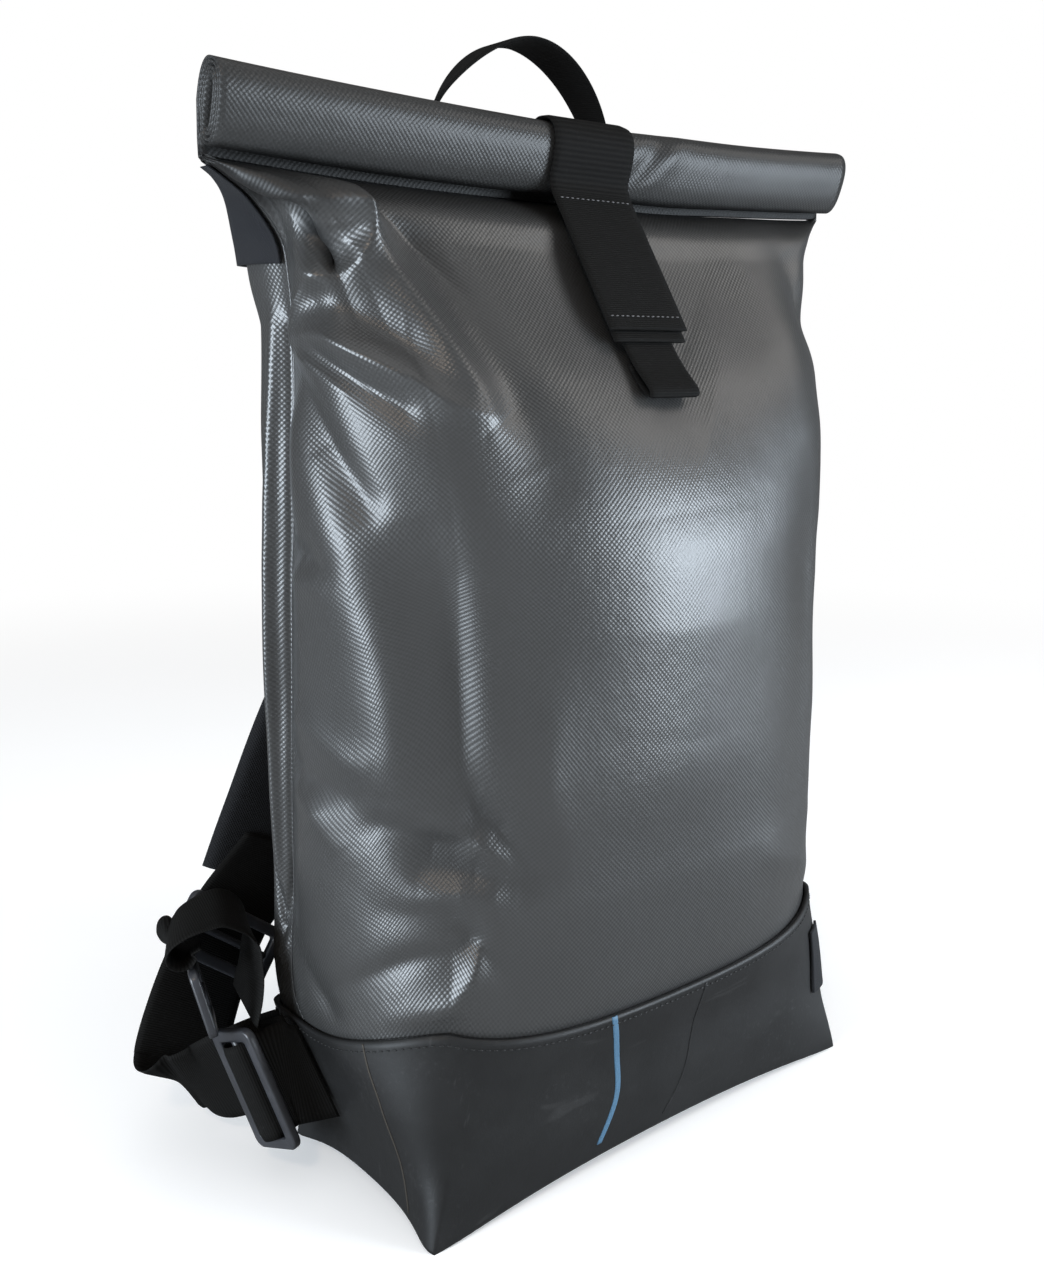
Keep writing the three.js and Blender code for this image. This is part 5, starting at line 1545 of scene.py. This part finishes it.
@dataclass
class Slider:
    """A moulded slider: a rounded frame with a bar across its middle."""

    name: str
    centre: np.ndarray
    long: np.ndarray
    short: np.ndarray
    length: float = 63.0
    width: float = SLIDER_WIDTH
    wall: float = SLIDER_WALL
    rim: float = 6.0
    bar: float = 4.0
    corner: float = 5.0
    least_corner: float = 1.6
    edge: float = 1.1
    quarters: tuple = ((1, 1), (-1, 1), (-1, -1), (1, -1))

    def ring(self, inset: float, per_corner: int = 8) -> np.ndarray:
        """A rounded rectangle, some way inside the slider's outline."""
        radius = max(self.corner - inset, self.least_corner)
        half_length, half_width = 0.5 * self.length - inset, 0.5 * self.width - inset
        points = []
        for quarter, (sx, sy) in enumerate(self.quarters):
            angle = np.linspace(0, 0.5 * np.pi, per_corner) + quarter * 0.5 * np.pi
            centre = np.array([sx * (half_length - radius), sy * (half_width - radius)])
            points.append(centre + radius * np.stack([np.cos(angle), np.sin(angle)], -1))
        return np.concatenate(points)

    def mesh(self) -> tuple:
        """Vertices and faces of the frame and its bar, on the slider's own axes."""
        outline, inner = self.ring(0.0), self.ring(self.rim)
        half, soft = 0.5 * self.wall, self.edge
        profile = []
        for quarter, (sx, sz) in enumerate(self.quarters):
            turn = np.linspace(0, 0.5 * np.pi, 4) + quarter * 0.5 * np.pi
            share = 0.5 + sx * (0.5 - soft / self.rim) + soft / self.rim * np.cos(turn)
            height = sz * (half - soft) + soft * np.sin(turn)
            profile += list(zip(share, height))
        grid = np.zeros((len(profile), len(outline), 3))
        for k, (share, height) in enumerate(profile):
            grid[k, :, :2] = inner + (outline - inner) * share
            grid[k, :, 2] = height
        closed = np.concatenate([grid, grid[:1]])
        faces = (grid_faces(len(closed), len(outline), True) % (len(profile) * len(outline))).tolist()
        vertices = grid.reshape(-1, 3)
        rows, columns = 9, 16
        angle = np.linspace(0, 2 * np.pi, columns + 1)[:-1]
        bar = np.zeros((rows, columns, 3))
        bar[..., 0] = np.linspace(-1, 1, rows)[:, None] * (0.5 * self.length - 0.6 * self.rim)
        bar[..., 1] = 0.5 * self.bar * np.cos(angle)
        bar[..., 2] = 0.42 * self.wall * np.sin(angle)
        start = len(vertices)
        faces += grid_faces(rows, columns, True, start).tolist()
        faces.append([start + i for i in range(columns)])
        faces.append([start + (rows - 1) * columns + i for i in reversed(range(columns))])
        return np.concatenate([vertices, bar.reshape(-1, 3)]), faces

    def build(self) -> bpy.types.Object:
        """The slider in its place."""
        vertices, faces = self.mesh()
        long = self.long / np.linalg.norm(self.long)
        short = self.short - long * (self.short @ long)
        short = short / np.linalg.norm(short)
        axes = np.stack([long, short, np.cross(long, short)])
        thing = mesh_object(self.name, self.centre + vertices @ axes, faces)
        outwards(thing)
        return thing


@dataclass
class ShoulderSet:
    """One side's padded strap, webbing, sliders and buckle.

    Directions and shifts are [outward, Y, Z], and shifts are in webbing widths.
    """

    hand: Hand
    spread: float = 48.0
    pad_width: float = 62.0
    pad_wall: float = 9.0
    pad_gap: float = 0.9
    pad_edge: float = 0.3
    pad_binding: float = 0.4
    pad_rows_down: int = 6
    pad_fill: float = 0.6
    lap: float = 6.0
    anchor_height: float = 0.62
    anchor_outset: float = 1.8
    anchor_along: float = 0.68
    slider_shift: tuple = (0.55, -0.30, -0.08)
    slider_long: tuple = (-0.22, -0.33, -0.92)
    slider_short: tuple = (-0.15, -0.94, 0.3)
    loop_along: float = 0.29
    loop_spread: float = 0.19
    loop_lift: float = -0.85
    loose_way: tuple = (-0.12, -0.378, -0.917)
    loose_gap: float = 5.9
    buckle_share: float = 0.45
    buckle_gap: float = 3.0

    @property
    def word(self) -> str:
        """The hand's name in lower case."""
        return self.hand.name.lower()

    def turned(self, way: Sequence[float]) -> np.ndarray:
        """An [outward, Y, Z] direction as X, Y, Z."""
        return np.array([self.hand.value * way[0], *way[1:]])

    def anchor(self, along: float, raised: float = 0.0) -> np.ndarray:
        """The place on the boot's side where webbing is sewn, or one some way above it."""
        place = BODY.place_at(self.anchor_height * BOOT_HEIGHT + raised)
        return BODY.point(place, float(self.hand.value), along, BOOT_GAP + RUBBER_WALL + self.anchor_outset)

    def boot_wall(self) -> tuple:
        """The stretch of the boot's side that the loop is sewn to: its middle and the way down it."""
        side = self.hand.value
        high, centre, low = (self.anchor(self.loop_along, step * 0.5 * WEBBING_WIDTH)
                             for step in (1, 0, -1))
        centre[0] = side * max(side * centre[0], side * 0.5 * (high[0] + low[0]))
        return centre + [side * self.loop_lift, 0, 0], unit(low - high)

    def rows(self, table: Sequence[tuple]) -> tuple:
        """Turns a table of shares into points and width directions."""
        side = self.hand.value
        table = np.array(table, float)
        points = self.anchor(self.anchor_along) + table[:, :3] * [side, 1, 1] * WEBBING_WIDTH
        return points, table[:, 3:] * [-side, 1, 1]

    def ribbon(self, name: str, points: np.ndarray, sides: np.ndarray, steps: int) -> Ribbon:
        """A ribbon on a smooth curve."""
        return Ribbon(name, bend(points, steps), bend(sides, steps))

    def pad(self) -> bpy.types.Object:
        """The padded strap, with a full rounded section and flat bound edges."""
        top = BODY.point(back_place(self.pad_rows_down), 0.0, 1.0, 0.0)
        end = self.rows(LOWER_WEBBING)[0][0]
        start = np.array([self.hand.value * self.spread, top[1] + 0.5 * self.pad_wall + self.pad_gap,
                          top[2] - CLEARANCE])
        finish = end + [0, self.lap, 2 * CLEARANCE]
        line = bend(start + (finish - start) * np.array(SHOULDER), 110)
        way = unit(np.gradient(line, axis=0))
        side = np.tile([1.0, 0, 0], (len(line), 1))
        side = unit(side - np.sum(side * way, 1, keepdims=True) * way)
        t = np.linspace(-1, 1, 21)
        rise = 0.5 * self.pad_wall * (self.pad_edge + (1 - self.pad_edge) * (1 - np.abs(t) ** 5) ** 0.5)
        rise = rise * np.where(np.abs(t) > 0.98, self.pad_binding, 1)
        upper = np.stack([0.5 * self.pad_width * t, rise], -1)
        outline = np.concatenate([upper, upper[::-1] * [1, -1]])
        return swept(f"padded_strap_{self.word}", line, side, unit(np.cross(way, side)), outline)

    def straps(self) -> None:
        """The padded strap, the webbing below it and its loose end."""
        pad = dress(self.pad(), PADDING, f"shoulder_strap_{self.word}")
        lower = self.ribbon(f"lower_strap_{self.word}", *self.rows((WEBBING_ON_PAD, *LOWER_WEBBING)), 132)
        dress(lower.build(), WEBBING, f"lower_webbing_{self.word}")
        loose = self.ribbon(f"curled_end_{self.word}", *self.rows(LOOSE_END), 130)
        dress(loose.build(), WEBBING, f"loose_end_{self.word}")

    def slider(self, name: str, node: str, place: np.ndarray, long: np.ndarray, short: np.ndarray) -> None:
        """A slider in its place, in the stead of a CAD node."""
        dress(Slider(f"{name}_{self.word}", place, long, short).build(), PLASTIC, f"{node}_{self.word}")

    def boot_loop(self) -> None:
        """The slider beside the boot, and the webbing through it."""
        long = unit(self.turned(self.slider_long))
        short = self.turned(self.slider_short)
        short = unit(short - long * (short @ long))
        outward = np.cross(long, short) * -self.hand.value
        centre = self.anchor(self.anchor_along) + self.turned(self.slider_shift) * WEBBING_WIDTH
        self.slider("boot_slider", "anchor_slider", centre, long, short)
        wall, flat = self.boot_wall()
        apart = np.array([0, self.loop_spread * SLIDER_WIDTH, 0])
        loop = [centre + short * a * SLIDER_WIDTH + outward * o * SLIDER_WIDTH for a, o in ANCHOR_LOOP]
        points = np.array([wall + apart, *loop, wall - apart])
        sides = np.array([flat, *[long] * len(loop), flat])
        webbing = self.ribbon(f"boot_loop_{self.word}", points, sides, 90)
        dress(webbing.build(), WEBBING, f"anchor_webbing_{self.word}")

    def end_slider(self) -> None:
        """The slider that hangs on the loose end."""
        points, sides = self.rows(LOOSE_END)
        held, axis = points[-2], unit(sides[-2])
        down = self.turned(self.loose_way)
        down = unit(down - axis * (down @ axis))
        place = held + down * (0.5 * (SLIDER_WIDTH + WEBBING_WALL) + self.loose_gap)
        self.slider("end_slider", "loose_slider", place, axis, down)

    def buckle(self) -> None:
        """The buckle below the padded strap."""
        points, sides = self.rows(LOWER_WEBBING)
        along = unit(points[3] + points[2] - points[1] - points[0])
        axis = unit(sides[1] - along * (sides[1] @ along))
        ahead = unit(np.cross(axis, along))
        ahead = -ahead if ahead[1] > 0 else ahead
        place = points[1] + self.buckle_share * (points[2] - points[1])
        place = place + ahead * (0.5 * (SLIDER_WALL + WEBBING_WALL) + self.buckle_gap)
        self.slider("pad_buckle", "strap_buckle", place, axis, along)

    def build(self) -> None:
        """Makes and dresses the set."""
        self.straps()
        self.boot_loop()
        self.end_slider()
        self.buckle()


@dataclass
class SideTab:
    """The small bare tab on the boot's front right corner."""

    height: float = 36.0
    top: float = 0.9
    wall: float = 1.2
    gap: float = 0.6

    def build(self) -> None:
        """Makes and dresses the tab."""
        first = np.linspace(0.86, 1, 14)
        second = np.linspace(-1, -0.93, 8)[1:]
        directions = np.array([[a, -1] for a in first] + [[1, b] for b in second])
        top = self.top * BOOT_HEIGHT
        place = BODY.place_at(np.linspace(top, top - self.height, 24))[:, None]
        outset = BOOT_GAP + RUBBER_WALL + self.gap
        outer, inner = (BODY.point(place, directions[None, :, 0], directions[None, :, 1], reach)
                        for reach in (outset + self.wall, outset))
        uv = np.stack([length_along(outer, 1), length_along(outer, 0)], -1) * MM
        dress(sheet_object("bare_tab", outer, inner, uv), YOKE_CLOTH, "side_tab")


@dataclass(frozen=True)
class Lamp:
    """An area light that looks at a point on the pack."""

    name: str
    place: tuple
    target: tuple
    size: tuple
    power: float
    colour: tuple = (1.0, 1.0, 1.0)


COOL = (0.80, 0.90, 1.0)
WARM = (1.0, 0.80, 0.62)

LAMPS = (
    Lamp("window_right", (1.0, -1.15, 0.34), (0, -0.05, 0.25), (0.95, 0.62), 33, COOL),
    Lamp("window_left", (-1.55, -0.10, 0.36), (-0.15, 0, 0.22), (0.60, 0.70), 34, COOL),
    Lamp("wall_above_right", (1.5, -1.1, 1.6), (0, 0, 0.35), (1.3, 0.8), 9, (1.0, 0.95, 0.90)),
    Lamp("bulb_left", (-1.0, -0.75, 1.25), (-0.15, 0, 0.4), (0.14, 0.14), 3.2, WARM),
    Lamp("ceiling", (0.0, -0.2, 2.3), (0, 0, 0.2), (2.0, 2.0), 10),
)


@dataclass
class Studio:
    """Floor, light and camera."""

    camera_place: tuple = (-0.4363, -0.4758, 0.3966)
    yaw: float = math.radians(39.46)
    pitch: float = math.radians(12.66)
    roll: float = math.radians(0.39)
    lens: float = 36.52
    room: float = 0.42
    room_in_gloss: float = 0.14
    floor_in_gloss: float = 0.3
    floor_lift: float = 0.22
    floor_size: float = 30.0
    floor_fades: tuple = (0.6, 1.7)

    def floor(self) -> None:
        """A pale floor."""
        mesh = bpy.data.meshes.new("floor")
        size = self.floor_size
        corners = [(-size, -size, 0), (size, -size, 0), (size, size, 0), (-size, size, 0)]
        mesh.from_pydata(corners, [], [(0, 1, 2, 3)])
        plane = bpy.data.objects.new("floor", mesh)
        bpy.context.scene.collection.objects.link(plane)
        material = bpy.data.materials.new("pale_floor")
        material.use_nodes = True
        bench = NodeBench(material.node_tree)
        shader = material.node_tree.nodes["Principled BSDF"]
        place = bench.add("ShaderNodeTexCoord").outputs["Object"]
        tone = bench.noise(place, 3.0, 3.0)
        pale = bench.blend(tone, (0.86, 0.86, 0.86, 1), (0.9, 0.9, 0.9, 1))
        seen = bench.add("ShaderNodeLightPath")
        dull = (self.floor_in_gloss,) * 3 + (1,)
        shown = bench.blend(seen.outputs["Is Glossy Ray"], pale, dull)
        reach = bench.add("ShaderNodeVectorMath", {0: place}, operation="LENGTH").outputs["Value"]
        far = bench.math("MULTIPLY", bench.span(reach, *self.floor_fades), seen.outputs["Is Camera Ray"])
        bench.feed(shader.inputs["Base Color"], bench.blend(far, shown, (0, 0, 0, 1)))
        near = bench.math("MULTIPLY", seen.outputs["Is Camera Ray"], self.floor_lift)
        glow = bench.blend(far, bench.blend(near, (0, 0, 0, 1), (1, 1, 1, 1)), (1, 1, 1, 1))
        bench.feed(shader.inputs["Emission Color"], glow)
        shader.inputs["Emission Strength"].default_value = 1.0
        shader.inputs["Roughness"].default_value = 1.0
        shader.inputs["Specular IOR Level"].default_value = 0.0
        plane.data.materials.append(material)

    def lights(self) -> None:
        """Area lights and a pale world."""
        for lamp in LAMPS:
            data = bpy.data.lights.new(lamp.name, "AREA")
            data.shape = "RECTANGLE"
            data.size, data.size_y = lamp.size
            data.energy = lamp.power
            data.color = lamp.colour
            thing = bpy.data.objects.new(lamp.name, data)
            thing.location = lamp.place
            way = Vector(lamp.target) - Vector(lamp.place)
            thing.rotation_euler = way.to_track_quat("-Z", "Y").to_euler()
            bpy.context.scene.collection.objects.link(thing)
        world = bpy.data.worlds.new("pale_room")
        world.use_nodes = True
        bench = NodeBench(world.node_tree)
        background = world.node_tree.nodes["Background"]
        seen = bench.add("ShaderNodeLightPath")
        mirrored = bench.math("MULTIPLY", seen.outputs["Is Glossy Ray"], self.room - self.room_in_gloss)
        lit = bench.math("SUBTRACT", self.room, mirrored)
        shown = bench.math("MULTIPLY", seen.outputs["Is Camera Ray"], 1 - self.room)
        bench.feed(background.inputs["Strength"], bench.math("ADD", lit, shown))
        background.inputs["Color"].default_value = (1, 1, 1, 1)
        bpy.context.scene.world = world

    def camera(self) -> None:
        """The camera at the photograph's viewing angle."""
        data = bpy.data.cameras.new("camera")
        data.sensor_fit = "AUTO"
        data.sensor_width = 36.0
        data.lens = self.lens
        data.clip_end = 200.0
        thing = bpy.data.objects.new("camera", data)
        turn = (Matrix.Rotation(-self.yaw, 4, "Z") @ Matrix.Rotation(math.pi / 2 - self.pitch, 4, "X")
                @ Matrix.Rotation(self.roll, 4, "Z"))
        thing.matrix_world = Matrix.Translation(self.camera_place) @ turn
        bpy.context.scene.collection.objects.link(thing)
        bpy.context.scene.camera = thing

    def build(self) -> None:
        """Sets up the studio."""
        bpy.context.scene.view_settings.view_transform = "Standard"
        self.camera()
        self.floor()
        self.lights()


def main() -> None:
    """Builds the pack and its studio in order."""
    logging.basicConfig(level=logging.INFO, format="%(name)s: %(message)s")
    Studio().build()
    TarpBody().build()
    Boot().build()
    Roll().build()
    Closure().build()
    Handle().build()
    for hand in Hand:
        ShoulderSet(hand).build()
    SideTab().build()


if __name__ == "__main__":
    main()
